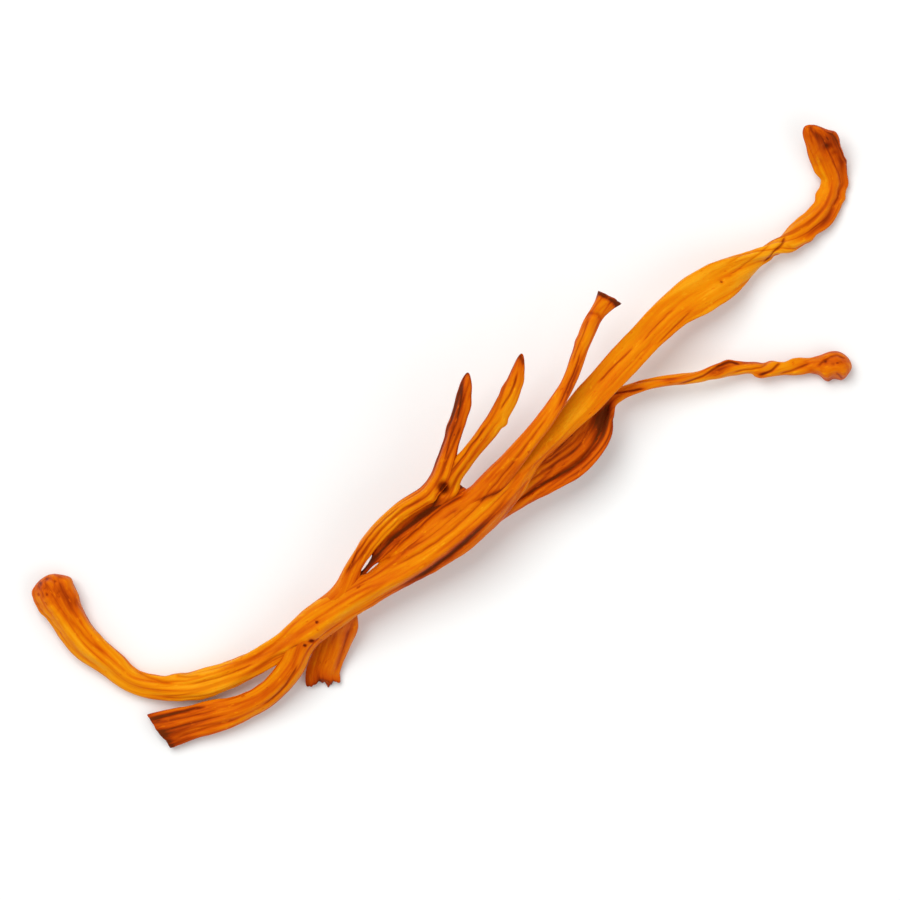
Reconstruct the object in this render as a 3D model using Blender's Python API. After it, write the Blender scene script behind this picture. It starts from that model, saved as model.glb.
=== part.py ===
"""One forking cluster of dried cordyceps: flattened, twisted strands that grew joined at the base.

The cluster lies on the surface z = 0 as it dried. Every strand is a swept ribbon: stations along
its middle line give its place, width, thickness, roll and cup, and rings of points are skinned
between them. A strand that passes a fork is one route, cut at the fork into two nodes.
"""

import math
from collections import namedtuple

import bmesh
import bpy
from mathutils import Vector
from mathutils.noise import noise

MM = 0.001
FORK_GAP = 0.3  # between two nodes that grew as one, in millimetres
RING_STEP = 0.75  # along a strand, in millimetres
CENTRE = (-0.29, -0.57)  # middle of the cluster's outline seen from above, in millimetres

# x and y of a strand's middle line, its height above the surface, width and thickness, all in
# millimetres, roll about its own line in degrees, and how far its edges turn up, in millimetres.
Station = namedtuple("Station", "x y z width thick roll cup", defaults=(0.0, 0.0))

MAIN_STRAND = [
    Station(-27.9, -10.2, 1.05, 2.4, 2.3),
    Station(-27.2, -11.6, 1.05, 2.9, 2.5),
    Station(-25.5, -14.5, 0.95, 2.35, 2.0, 8, 0.1),
    Station(-23.5, -16.2, 0.85, 2.0, 1.8, -6, 0.1),
    Station(-21.7, -17.6, 0.75, 1.7, 1.6, -10, 0.1),
    Station(-19.0, -18.05, 0.80, 1.8, 1.6, 6, 0.2),
    Station(-16.2, -17.5, 1.15, 2.0, 1.5, 10, 0.2),
    Station(-13.6, -16.4, 1.75, 1.75, 1.5, 6, 0.1),
    Station(-11.4, -15.0, 2.35, 1.75, 1.6),
    Station(-9.3, -13.6, 2.85, 2.3, 1.9),
    Station(-7.2, -12.3, 3.30, 2.1, 1.9),
    Station(-4.6, -10.7, 3.80, 2.1, 1.9, -4),
    Station(-2.0, -9.1, 4.25, 2.5, 2.0, -8),
    Station(0.2, -7.6, 4.60, 2.9, 2.0, -10),
    Station(2.3, -5.9, 4.90, 2.7, 1.8, -8),
    Station(4.0, -4.3, 5.05, 2.2, 1.5, -6),
    Station(6.0, -2.0, 5.00, 1.4, 1.1, 0),
    Station(7.9, 0.1, 4.95, 1.7, 1.0, 0, 0.1),
    Station(10.0, 2.3, 4.75, 2.2, 1.0, 4, 0.2),
    Station(12.9, 5.4, 4.20, 2.3, 1.1, 6, 0.25),
    Station(15.5, 8.0, 3.45, 2.5, 1.1, 4, 0.3),
    Station(17.8, 9.6, 2.80, 3.0, 1.0, 0, 0.35),
    Station(19.8, 10.8, 2.25, 2.6, 1.0, -14, 0.25),
    Station(21.5, 11.8, 1.80, 1.6, 1.0, -45, 0.1),
    Station(22.9, 12.6, 1.45, 1.2, 1.1, -100, 0.0),
    Station(24.4, 13.5, 1.00, 1.7, 1.0, -160, 0.1),
    Station(26.4, 15.3, 0.50, 1.8, 1.1, -180, 0.1),
    Station(27.05, 17.2, 0.50, 1.9, 1.1, -184, 0.1),
    Station(26.6, 18.9, 1.05, 2.3, 1.0, -170, -0.2),
    Station(25.9, 20.1, 1.85, 2.0, 0.9, -150, -0.3),
    Station(25.3, 21.2, 2.70, 1.1, 0.8, -140, -0.1),
]
TRUNK_FROM = 20.2  # where the trunk begins and ends along the main strand, in millimetres
TRUNK_TO = 41.2

CUT_SHOOT = [
    Station(0.0, -5.9, 4.85, 1.2, 1.0),
    Station(1.9, -4.8, 5.25, 1.6, 1.1, 0),
    Station(3.8, -2.9, 5.75, 1.7, 1.1, 6),
    Station(5.6, -0.9, 6.20, 1.4, 1.0, 10),
    Station(7.1, 1.0, 6.55, 1.25, 0.9, 20),
    Station(8.4, 3.2, 6.75, 1.15, 0.8, 30),
    Station(9.3, 5.6, 7.00, 1.1, 0.8, 20),
    Station(10.0, 7.3, 7.20, 1.15, 0.8, 8),
    Station(10.5, 8.3, 7.30, 1.3, 0.9, 0),
    Station(11.1, 9.2, 7.40, 1.9, 1.1, 0),
]
CUT_SHOOT_FREE = 8.6

KNOBBY_SHOOT = [
    Station(2.3, -6.4, 4.20, 1.2, 1.3),
    Station(4.4, -5.1, 4.00, 1.5, 1.3, -14, 0.1),
    Station(6.2, -3.7, 3.75, 2.2, 1.1, -14, 0.3),
    Station(7.8, -2.6, 3.55, 2.6, 0.9, -12, 0.6),
    Station(9.2, -1.5, 3.40, 2.8, 0.9, -10, 0.7),
    Station(10.2, -0.2, 3.25, 2.6, 0.9, -6, 0.6),
    Station(10.8, 1.1, 3.10, 1.9, 0.9, 0, 0.3),
    Station(11.7, 2.2, 2.90, 1.0, 0.8, 20, 0.1),
    Station(14.3, 3.15, 2.50, 0.85, 0.75, 60),
    Station(17.2, 3.6, 2.00, 0.9, 0.75, 100),
    Station(19.2, 4.15, 1.70, 1.15, 0.8, 140),
    Station(21.2, 4.3, 1.35, 0.85, 0.75, 190),
    Station(22.2, 4.15, 1.20, 1.15, 0.9, 220),
    Station(24.1, 4.35, 0.85, 1.0, 0.9, 260),
    Station(25.5, 4.4, 0.65, 1.3, 1.1, 290),
    Station(27.1, 4.4, 0.85, 2.1, 1.8, 300),
    Station(28.3, 4.35, 0.80, 1.6, 1.5, 300),
]
KNOBBY_SHOOT_FREE = 4.2

FORKED_SHOOT = [
    Station(-7.6, -11.6, 3.40, 1.2, 1.2),
    Station(-6.3, -9.4, 4.00, 1.25, 1.1, 14),
    Station(-5.1, -7.6, 4.55, 1.3, 1.1, 20),
    Station(-3.3, -5.8, 5.00, 1.3, 1.1, 16),
    Station(-1.5, -4.6, 5.35, 1.35, 1.1, 14),
    Station(-0.6, -3.5, 5.60, 1.3, 1.0, 20),
    Station(-0.1, -2.2, 5.85, 1.2, 1.0, 24),
    Station(0.35, -0.8, 6.15, 1.2, 0.9, 26),
    Station(0.85, 0.7, 6.55, 1.2, 0.9, 16),
    Station(1.2, 2.2, 6.90, 1.1, 0.8, 10),
    Station(1.5, 3.9, 7.20, 0.8, 0.7, 0),
]
LEFT_PRONG_FREE = 13.4

RIGHT_PRONG = [
    Station(-1.2, -5.6, 5.00, 1.1, 1.0),
    Station(-0.2, -4.5, 5.30, 1.1, 1.0, 0),
    Station(0.6, -3.2, 5.70, 1.15, 0.9, -14),
    Station(1.6, -1.8, 6.20, 1.2, 0.9, -20),
    Station(2.95, 0.0, 6.85, 1.4, 0.9, -14),
    Station(3.9, 1.5, 7.30, 1.4, 0.8, -6),
    Station(4.65, 3.1, 7.70, 1.2, 0.8, 0),
    Station(5.2, 5.2, 8.00, 0.8, 0.7, 10),
]
RIGHT_PRONG_FREE = 4.9

VALLEY_WEB = [
    Station(-5.2, -9.0, 3.80, 1.0, 0.7),
    Station(-3.7, -7.7, 4.00, 2.0, 0.7, 6),
    Station(-1.9, -6.5, 4.35, 2.4, 0.7, 4),
    Station(-0.2, -5.3, 4.70, 2.2, 0.7, 0),
    Station(1.2, -4.3, 4.95, 1.2, 0.7),
]

LOWER_BRANCH = [
    Station(-8.7, -13.3, 3.00, 1.6, 1.4),
    Station(-9.9, -14.8, 2.95, 1.6, 1.2),
    Station(-10.8, -16.7, 2.50, 1.7, 1.2, 6),
    Station(-12.4, -18.4, 1.75, 1.75, 1.2, 10),
    Station(-14.4, -19.5, 1.25, 1.9, 1.2, 6, 0.1),
    Station(-16.3, -20.1, 0.90, 2.2, 1.2, 0, 0.2),
    Station(-18.2, -20.6, 0.65, 2.5, 1.2, 0, 0.2),
    Station(-20.1, -21.1, 0.55, 2.6, 1.2, 0, 0.1),
]
LOWER_BRANCH_FREE = 4.8

RAGGED_STUB = [
    Station(-6.9, -12.3, 2.80, 2.2, 1.2),
    Station(-7.5, -13.6, 2.25, 2.8, 1.0),
    Station(-7.9, -14.9, 1.45, 2.5, 0.8, 0, -0.1),
    Station(-8.3, -16.0, 0.90, 2.3, 0.8, 0, -0.2),
    Station(-8.6, -16.9, 0.60, 2.3, 0.8, 0, -0.1),
    Station(-8.6, -17.8, 0.38, 2.4, 0.8, 0, 0.1),
]
RAGGED_STUB_FREE = 2.5

DEEP_ORANGE = (0.72, 0.20, 0.006, 1.0)
PALE_ORANGE = (0.80, 0.29, 0.02, 1.0)
RED_ORANGE = (0.50, 0.10, 0.005, 1.0)
DRIED_SKIN_ROUGHNESS = 0.55


def clear_scene():
    """Remove every object that the file opens with."""
    for found in list(bpy.data.objects):
        bpy.data.objects.remove(found, do_unlink=True)


def skin(name, colour):
    """A plain dried skin in one colour."""
    material = bpy.data.materials.new(name)
    material.use_nodes = True
    surface = material.node_tree.nodes["Principled BSDF"]
    surface.inputs["Base Color"].default_value = colour
    surface.inputs["Roughness"].default_value = DRIED_SKIN_ROUGHNESS
    surface.inputs["Metallic"].default_value = 0.0
    return material


class Route:
    """A smooth curve through a strand's stations, read by the distance along it in millimetres."""

    FINE = 24  # short pieces between two stations
    REACH = 0.4  # how far ahead and behind the strand's direction is taken, in millimetres

    def __init__(self, stations):
        values = [tuple(station) for station in stations]
        self.samples = []
        for index in range(len(values) - 1):
            before = values[max(index - 1, 0)]
            after = values[min(index + 2, len(values) - 1)]
            pieces = self.FINE + (index == len(values) - 2)
            for piece in range(pieces):
                share = piece / self.FINE
                self.samples.append(
                    [
                        self.blend(a, b, c, d, share)
                        for a, b, c, d in zip(before, values[index], values[index + 1], after)
                    ]
                )
        self.distance = [0.0]
        for last, here in zip(self.samples, self.samples[1:]):
            step = Vector(here[:3]) - Vector(last[:3])
            self.distance.append(self.distance[-1] + step.length)
        self.length = self.distance[-1]

    @staticmethod
    def blend(before, start, end, after, share):
        """The Catmull-Rom value between start and end."""
        slope_in = 0.5 * (end - before)
        slope_out = 0.5 * (after - start)
        square = share * share
        cube = square * share
        return (
            (2 * cube - 3 * square + 1) * start
            + (cube - 2 * square + share) * slope_in
            + (3 * square - 2 * cube) * end
            + (cube - square) * slope_out
        )

    def at(self, distance):
        """The station at this distance along the strand."""
        distance = min(max(distance, 0.0), self.length)
        index = 1
        while index < len(self.distance) - 1 and self.distance[index] < distance:
            index += 1
        span = self.distance[index] - self.distance[index - 1]
        share = (distance - self.distance[index - 1]) / span if span else 0.0
        low = self.samples[index - 1]
        high = self.samples[index]
        return Station(*(a + (b - a) * share for a, b in zip(low, high)))

    def axes(self, distance):
        """Unit vectors along the strand, to its side and out of its upper face."""
        ahead = Vector(self.at(distance + self.REACH)[:3])
        behind = Vector(self.at(distance - self.REACH)[:3])
        along = (ahead - behind).normalized()
        side = along.cross(Vector((0, 0, 1))).normalized()
        upper = side.cross(along)
        roll = math.radians(self.at(distance).roll)
        return (
            along,
            side * math.cos(roll) + upper * math.sin(roll),
            upper * math.cos(roll) - side * math.sin(roll),
        )


class Strand:
    """One stretch of a route, skinned as a closed mesh."""

    SWELL = 0.10  # share of the width by which it grows and shrinks along the strand
    SWELL_RATE = 0.45  # swells for each millimetre
    PLEAT_DRIFT = 1.2  # half turns by which the pleats wander round the strand
    PLEAT_DRIFT_RATE = 0.16
    EDGE_SHARE = 0.4  # how much of a pleat's depth also moves the edges
    CUP_BALANCE = 0.35  # keeps a cupped stretch at the height of its middle line
    TEAR_RATE = 2.3  # teeth round a torn end
    END_TURNS = (78, 56, 30)  # degrees round a rounded end at which its rings lie
    END_LENGTHS = {"flat": 0.0, "round": 0.9, "taper": 1.6, "cut": 0.1, "torn": 0.3}

    def __init__(self, stations, start=0.0, stop=None, sides=16, pleats=4, crease=0.10, seed=0.0):
        self.route = Route(stations)
        self.start = start
        self.stop = self.route.length if stop is None else stop
        self.sides = sides
        self.pleats = pleats
        self.crease = crease
        self.seed = seed

    def ring(self, distance, scale=1.0, ragged=0.0, shift=0.0):
        """Points round the strand: lengthwise pleats, cupped edges and an uneven outline."""
        here = self.route.at(distance)
        along, side, upper = self.route.axes(distance)
        middle = Vector(here[:3]) + along * shift
        swell = 1 + self.SWELL * noise((distance * self.SWELL_RATE, self.seed, 0.0))
        wander = noise((distance * self.PLEAT_DRIFT_RATE, self.seed + 5.0, 2.0))
        drift = self.PLEAT_DRIFT * wander * math.pi
        points = []
        for index in range(self.sides):
            angle = 2 * math.pi * index / self.sides
            across = math.cos(angle)
            out = math.sin(angle)
            pleat = 1 + self.crease * math.cos(self.pleats * angle + drift)
            width = across * here.width / 2 * swell * (1 + self.EDGE_SHARE * (pleat - 1))
            thick = out * here.thick / 2 * pleat
            cup = here.cup * (across * across - self.CUP_BALANCE)
            point = middle + (side * width + upper * (thick + cup)) * scale
            tear = noise((across * self.TEAR_RATE, out * self.TEAR_RATE, self.seed + distance))
            points.append(point + along * (ragged * tear))
        return points

    def rings(self, first, last):
        """All the rings from one end to the other, with their end shapes."""
        body = self.end_rings(first, self.start, 1)
        steps = max(2, round((self.stop - self.start) / RING_STEP))
        low = self.start + self.END_LENGTHS[first]
        high = self.stop - self.END_LENGTHS[last]
        for step in range(steps + 1):
            body.append(self.ring(low + (high - low) * step / steps))
        body += reversed(self.end_rings(last, self.stop, -1))
        return body

    def end_rings(self, kind, at, inward):
        """Rings from the outermost one inwards, for one end of the strand."""
        length = self.END_LENGTHS[kind]
        if kind in ("round", "taper"):
            turns = [math.radians(angle) for angle in self.END_TURNS]
            return [
                self.ring(at + inward * length * (1 - math.sin(turn)), scale=math.cos(turn))
                for turn in turns
            ]
        if kind == "cut":
            return [
                self.ring(at, scale=0.45, shift=0.35 * inward),
                self.ring(at, scale=0.72),
                self.ring(at, scale=0.96),
            ]
        if kind == "torn":
            return [
                self.ring(at, scale=0.5, ragged=0.4),
                self.ring(at, scale=0.95, ragged=1.2),
            ]
        return []

    def solid(self, name, material, first="flat", last="flat", rests=False):
        """A closed object, its underside cut level with the surface where it rests there."""
        mesh = bpy.data.meshes.new(name)
        form = bmesh.new()
        rings = [
            [form.verts.new((point - Vector((*CENTRE, 0))) * MM) for point in ring]
            for ring in self.rings(first, last)
        ]
        for ring, after in zip(rings, rings[1:]):
            for index in range(self.sides):
                follow = (index + 1) % self.sides
                form.faces.new((ring[index], ring[follow], after[follow], after[index]))
        for ring in (rings[0], rings[-1]):
            hub = form.verts.new(sum((vert.co for vert in ring), Vector()) / len(ring))
            for index in range(self.sides):
                form.faces.new((ring[index], ring[(index + 1) % self.sides], hub))
        if rests:
            self.level_underside(form)
        bmesh.ops.recalc_face_normals(form, faces=form.faces)
        form.to_mesh(mesh)
        form.free()
        mesh.materials.append(material)
        mesh.shade_smooth()
        mesh.set_sharp_from_angle(angle=math.radians(50))
        made = bpy.data.objects.new(name, mesh)
        bpy.context.scene.collection.objects.link(made)
        return made

    @staticmethod
    def level_underside(form):
        """Cut off what lies below the surface and close the cut with flat faces."""
        everything = form.verts[:] + form.edges[:] + form.faces[:]
        bmesh.ops.bisect_plane(
            form,
            geom=everything,
            dist=0.000002,
            plane_co=(0, 0, 0),
            plane_no=(0, 0, 1),
            clear_inner=True,
        )
        open_edges = [edge for edge in form.edges if edge.is_boundary]
        bmesh.ops.holes_fill(form, edges=open_edges, sides=0)


def fuse(trunk, grown_on):
    """Join the roots of the shoots to the trunk with Boolean unions."""
    for root in grown_on:
        root.hide_render = True
        root.display_type = "WIRE"
        union = trunk.modifiers.new("grown_together_" + root.name, "BOOLEAN")
        union.operation = "UNION"
        union.solver = "EXACT"
        union.object = root


def build_trunk(deep):
    """The middle of the cluster with the roots of all that grows on it."""
    trunk = Strand(MAIN_STRAND, TRUNK_FROM, TRUNK_TO, sides=20, pleats=5, seed=1.0)
    body = trunk.solid("fused_trunk", deep)
    roots = [
        Strand(CUT_SHOOT, 0, CUT_SHOOT_FREE - FORK_GAP, 12, 3, seed=2.0).solid(
            "cut_shoot_root", deep, first="round"
        ),
        Strand(KNOBBY_SHOOT, 0, KNOBBY_SHOOT_FREE - FORK_GAP, 14, 3, seed=3.0).solid(
            "knobby_shoot_root", deep, first="round"
        ),
        Strand(FORKED_SHOOT, 0, LEFT_PRONG_FREE - FORK_GAP, 14, 4, seed=4.0).solid(
            "forked_shoot_root", deep, first="round"
        ),
        Strand(RIGHT_PRONG, 0, RIGHT_PRONG_FREE - FORK_GAP, 12, 3, seed=5.0).solid(
            "right_prong_root", deep, first="round"
        ),
        Strand(VALLEY_WEB, sides=12, pleats=3, seed=6.0).solid(
            "valley_web", deep, first="round", last="round"
        ),
        Strand(LOWER_BRANCH, 0, LOWER_BRANCH_FREE - FORK_GAP, 14, 4, seed=7.0).solid(
            "lower_branch_root", deep, first="round"
        ),
        Strand(RAGGED_STUB, 0, RAGGED_STUB_FREE - FORK_GAP, 16, 4, seed=8.0).solid(
            "ragged_stub_root", deep, first="round"
        ),
    ]
    fuse(body, roots)


def build_main_strand(deep, pale):
    """The two ends of the strand whose middle is the trunk."""
    start = TRUNK_TO + FORK_GAP
    blade = Strand(MAIN_STRAND, start, sides=20, pleats=5, seed=1.0)
    blade.solid("long_blade", deep, last="round", rests=True)
    stop = TRUNK_FROM - FORK_GAP
    branch = Strand(MAIN_STRAND, 0, stop, sides=18, pleats=5, seed=1.0)
    branch.solid("round_tipped_branch", pale, first="round", rests=True)


def build_shoots(deep, red):
    """What grows on the trunk, each from its fork to its tip."""
    Strand(CUT_SHOOT, CUT_SHOOT_FREE, None, 12, 3, seed=2.0).solid(
        "cut_shoot", deep, last="cut"
    )
    Strand(KNOBBY_SHOOT, KNOBBY_SHOOT_FREE, None, 14, 3, seed=3.0).solid(
        "knobby_shoot", deep, last="round", rests=True
    )
    Strand(FORKED_SHOOT, LEFT_PRONG_FREE, None, 14, 4, seed=4.0).solid(
        "left_prong", deep, last="taper"
    )
    Strand(RIGHT_PRONG, RIGHT_PRONG_FREE, None, 12, 3, seed=5.0).solid(
        "right_prong", deep, last="taper"
    )
    Strand(LOWER_BRANCH, LOWER_BRANCH_FREE, None, 14, 4, seed=7.0).solid(
        "lower_branch", red, last="cut", rests=True
    )
    Strand(RAGGED_STUB, RAGGED_STUB_FREE, None, 16, 4, seed=8.0).solid(
        "ragged_stub", red, last="torn", rests=True
    )


def main():
    """Build the cluster from its trunk outwards."""
    clear_scene()
    deep = skin("deep_orange_skin", DEEP_ORANGE)
    pale = skin("pale_orange_skin", PALE_ORANGE)
    red = skin("red_orange_skin", RED_ORANGE)
    build_trunk(deep)
    build_main_strand(deep, pale)
    build_shoots(deep, red)


main()
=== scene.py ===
"""Looks of one forking cluster of dried cordyceps that lies on a pale surface.

Every strand is modelled straight, along X: a ring is extruded from place to place, subdivided,
and carved with the pleats, creases, pits and lumps of the dried skin. Then it is bent along a
guide curve to where the frame has it. Lengths are in millimetres until a mesh is written.
"""

import logging
import math
from dataclasses import dataclass, field
from enum import Enum
from itertools import product
from typing import NamedTuple

import bpy
import numpy as np
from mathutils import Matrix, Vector
from mathutils.bvhtree import BVHTree
from mathutils.noise import noise


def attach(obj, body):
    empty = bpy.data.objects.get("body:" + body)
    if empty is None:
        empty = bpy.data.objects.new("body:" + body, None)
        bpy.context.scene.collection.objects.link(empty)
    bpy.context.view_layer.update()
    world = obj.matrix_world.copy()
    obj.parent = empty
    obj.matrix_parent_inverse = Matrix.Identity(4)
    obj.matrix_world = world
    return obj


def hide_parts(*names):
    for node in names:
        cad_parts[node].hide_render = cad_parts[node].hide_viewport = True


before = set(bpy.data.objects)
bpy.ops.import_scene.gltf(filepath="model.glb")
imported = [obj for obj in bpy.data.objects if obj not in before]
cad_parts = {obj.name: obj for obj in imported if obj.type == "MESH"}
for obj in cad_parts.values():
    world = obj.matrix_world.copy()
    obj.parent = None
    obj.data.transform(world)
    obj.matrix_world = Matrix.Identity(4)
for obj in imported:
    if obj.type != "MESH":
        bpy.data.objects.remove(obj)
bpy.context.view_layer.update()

MM = 0.001
# The stations count from here, in millimetres from the frame's origin.
CENTRE = Vector((-0.29, -0.57, 0.0))
LOG = logging.getLogger("dried_cordyceps")

Pair = tuple[float, float]
Pairs = tuple[Pair, ...]
Triple = tuple[float, float, float]
Colour = tuple[float, float, float, float]


class Station(NamedTuple):
    """A place on a strand, with its width, thickness, roll in degrees and turned-up edges."""

    x: float
    y: float
    z: float
    width: float
    thick: float
    roll: float = 0.0
    cup: float = 0.0


class Tip(Enum):
    """How a strand ends: the share of its section kept at each distance in from its end."""

    ROUND = ((0.02, 0.21), (0.155, 0.56), (0.45, 0.87), (0.9, 1.0))
    TAPER = ((0.03, 0.21), (0.27, 0.56), (0.8, 0.87), (1.6, 1.0))
    CUT = ((0.34, 0.40), (0.26, 0.62), (0.06, 0.86), (0.0, 0.97), (0.1, 1.0))
    TORN = ((0.30, 0.30), (0.14, 0.62), (0.02, 0.88), (0.0, 0.97), (0.3, 1.0))


@dataclass(frozen=True)
class Crease:
    """A lengthwise crease seen from above, along a course of (along, across) points; its dark is
    painted shade.
    """

    course: Pairs
    width: float
    depth: float
    dark: float


@dataclass(frozen=True)
class Pit:
    """A small round hollow in the upper skin."""

    along: float
    across: float
    radius: float
    depth: float
    dark: float


@dataclass(frozen=True)
class Lump:
    """A bump on a strand's edge: a positive side is the right one, seen along the strand."""

    along: float
    side: float
    height: float
    length: float


@dataclass(frozen=True)
class BlushAndPaintedLight:
    """A soft patch where the skin is lighter, or deeper if the change is negative: some are painted
    highlights and shade.
    """

    along: float
    across: float
    length: float
    breadth: float
    change: float


Stations = tuple[Station, ...]
Creases = tuple[Crease, ...]
Pits = tuple[Pit, ...]
Lumps = tuple[Lump, ...]
BlushesAndPaintedLight = tuple[BlushAndPaintedLight, ...]


class Layer(NamedTuple):
    """One layer of noise: its cycles for each millimetre on each axis, and where it starts."""

    rate: Triple
    start: float = 0.0


class SkinNoise:
    """Smooth seeded noise over points in space, between about -1 and 1."""

    CELLS = 256
    GAIN = 1.7

    def __init__(self, seed: int) -> None:
        """Draw the directions of the noise.

        Args:
            seed: Which noise this is.
        """
        draw = np.random.default_rng(seed)
        self.order = draw.permutation(self.CELLS)
        directions = draw.normal(size=(self.CELLS, 3))
        self.directions = directions / np.linalg.norm(directions, axis=1)[:, None]

    def at(self, points: np.ndarray, layer: Layer) -> np.ndarray:
        """Read one layer of the noise.

        Args:
            points: One point in space for each row.
            layer: How the noise is stretched.

        Returns:
            One value for each point.
        """
        places = points * layer.rate + layer.start
        cell = np.floor(places).astype(int)
        part = places - cell
        fade = part**3 * (part * (part * 6 - 15) + 10)
        total = np.zeros(len(places))
        for corner in product((0, 1), repeat=3):
            key = np.zeros(len(places), dtype=int)
            for axis in range(3):
                key = self.order[(key + cell[:, axis] + corner[axis]) % self.CELLS]
            slope = (self.directions[key] * (part - corner)).sum(axis=1)
            total += slope * np.where(corner, fade, 1 - fade).prod(axis=1)
        return total * self.GAIN


def smooth_step(value: np.ndarray, low: float, high: float) -> np.ndarray:
    """Turn values into shares that rise smoothly.

    Args:
        value: The values.
        low: Where the share starts to rise from 0.
        high: Where it has reached 1.

    Returns:
        One share for each value.
    """
    share = np.clip((value - low) / (high - low), 0, 1)
    return share * share * (3 - 2 * share)


def read_places(mesh: bpy.types.Mesh) -> np.ndarray:
    """Read where a mesh's vertices are.

    Args:
        mesh: The mesh.

    Returns:
        One place for each vertex, in metres.
    """
    places = np.empty(len(mesh.vertices) * 3)
    mesh.vertices.foreach_get("co", places)
    return places.reshape(-1, 3)


def write_places(mesh: bpy.types.Mesh, places: np.ndarray) -> None:
    """Move a mesh's vertices to these places, in metres."""
    mesh.vertices.foreach_set("co", places.ravel())
    mesh.update()


class Route:
    """The smooth curve through a strand's stations, read by the distance along it."""

    FINE = 24

    def __init__(self, stations: Stations, lead: int) -> None:
        """Sample the curve.

        Args:
            stations: The places that it passes.
            lead: How many of them lie before the place from which distances count.
        """
        self.stations = stations
        table = np.array(stations)
        samples = []
        for index in range(len(table) - 1):
            before = table[max(index - 1, 0)]
            start, end = table[index], table[index + 1]
            after = table[min(index + 2, len(table) - 1)]
            pieces = self.FINE + (index == len(table) - 2)
            for share in np.arange(pieces) / self.FINE:
                samples.append(self.blend(before, start, end, after, share))
        self.samples = np.array(samples)
        steps = np.linalg.norm(np.diff(self.samples[:, :3], axis=0), axis=1)
        self.distance = np.concatenate(([0.0], np.cumsum(steps)))
        self.before = float(self.distance[lead * self.FINE])
        self.distance -= self.before
        self.length = float(self.distance[-1])

    @staticmethod
    def blend(
        before: np.ndarray, start: np.ndarray, end: np.ndarray, after: np.ndarray, share: float
    ) -> np.ndarray:
        """Find a station between two others, on a smooth cubic.

        Args:
            before: The station before the first of the two.
            start: The first one.
            end: The second one.
            after: The station after it.
            share: How much of the way from start to end.

        Returns:
            The station there.
        """
        slope_in = 0.5 * (end - before)
        slope_out = 0.5 * (after - start)
        square = share * share
        cube = square * share
        return (
            (2 * cube - 3 * square + 1) * start
            + (cube - 2 * square + share) * slope_in
            + (3 * square - 2 * cube) * end
            + (cube - square) * slope_out
        )

    def read(self, along: np.ndarray, column: str) -> np.ndarray:
        """Read one value of the stations.

        Args:
            along: Distances along the strand.
            column: The name of the value, such as width.

        Returns:
            The value at each distance.
        """
        values = self.samples[:, Station._fields.index(column)]
        return np.interp(along, self.distance, values)

    def guide(self, name: str) -> bpy.types.Object:
        """Make the curve on which the strand is bent.

        Args:
            name: The curve's name.

        Returns:
            A smooth curve in the scene.
        """
        places = [(Vector(station[:3]) - CENTRE) * MM for station in self.stations]
        last = len(places) - 1
        bpy.ops.curve.primitive_bezier_curve_add()
        guide = bpy.context.object
        guide.name = name
        guide.data.twist_mode = "Z_UP"
        guide.data.resolution_u = self.FINE
        points = guide.data.splines[0].bezier_points
        points.add(len(places) - len(points))
        for index, (point, place) in enumerate(zip(points, places)):
            # A handle a sixth of the way between a place's neighbours gives the same cubic.
            pull = (places[min(index + 1, last)] - places[max(index - 1, 0)]) / 6
            point.handle_left_type = "FREE"
            point.handle_right_type = "FREE"
            point.co = place
            point.handle_left = place - pull
            point.handle_right = place + pull
        return guide


class Skin(Enum):
    """The finishes that the strands wear, named as the record names them."""

    DEEP = "deep_orange_skin"
    RED = "red_orange_skin"


def screen_colour(red: int, green: int, blue: int) -> Colour:
    """Turn a colour as a screen shows it into the linear one that a shader needs.

    Args:
        red: Its red, 0 to 255.
        green: Its green.
        blue: Its blue.

    Returns:
        The linear colour, opaque.
    """
    knee, slope, offset, power = 0.04045, 12.92, 0.055, 2.4
    linear = []
    for value in (red, green, blue):
        part = value / 255
        curved = ((part + offset) / (1 + offset)) ** power
        linear.append(part / slope if part <= knee else curved)
    return (*linear, 1.0)


class NodeBoard:
    """Adds nodes to a tree from left to right and links them."""

    WIDE = 200
    HIGH = 120
    ROWS = 3

    def __init__(self, tree: bpy.types.NodeTree) -> None:
        """Start on a tree."""
        self.tree = tree
        self.count = 0

    def add(self, kind: str, label: str, **settings: object) -> bpy.types.Node:
        """Add a node.

        Args:
            kind: The node's type name.
            label: What the node does here, in plain words.
            **settings: Properties of the node and their values.

        Returns:
            The new node.
        """
        node = self.tree.nodes.new(kind)
        node.label = label
        node.location = (self.WIDE * self.count, -self.HIGH * (self.count % self.ROWS))
        self.count += 1
        for key, value in settings.items():
            setattr(node, key, value)
        return node

    def link(self, source: bpy.types.NodeSocket, target: bpy.types.NodeSocket) -> None:
        """Join two sockets."""
        self.tree.links.new(source, target)

    def math(
        self, operation: str, label: str, *values: bpy.types.NodeSocket | float
    ) -> bpy.types.NodeSocket:
        """Add a math node whose inputs are sockets or numbers.

        Args:
            operation: The sum to do, such as MULTIPLY_ADD.
            label: What the node does here.
            *values: Its two or three inputs.

        Returns:
            The socket with the result.
        """
        node = self.add("ShaderNodeMath", label, operation=operation)
        for socket, value in zip(node.inputs, values):
            if isinstance(value, bpy.types.NodeSocket):
                self.link(value, socket)
            else:
                socket.default_value = value
        return node.outputs[0]

    def map_range(
        self, label: str, value: bpy.types.NodeSocket, source: Pair, target: Pair = (0.0, 1.0)
    ) -> bpy.types.NodeSocket:
        """Add a node that turns one range into another and stops at its ends.

        Args:
            label: What the node does here.
            value: The socket to read.
            source: The range that it is read in.
            target: The range of the result.

        Returns:
            The socket with the result.
        """
        node = self.add("ShaderNodeMapRange", label)
        bounds = zip(("From Min", "From Max", "To Min", "To Max"), (*source, *target))
        for name, bound in bounds:
            node.inputs[name].default_value = bound
        self.link(value, node.inputs["Value"])
        return node.outputs["Result"]


class Pattern(NamedTuple):
    """A noise in the skin's colour: cycles for each millimetre, octaves, and strength."""

    label: str
    scale: Triple
    octaves: float
    share: float


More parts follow.
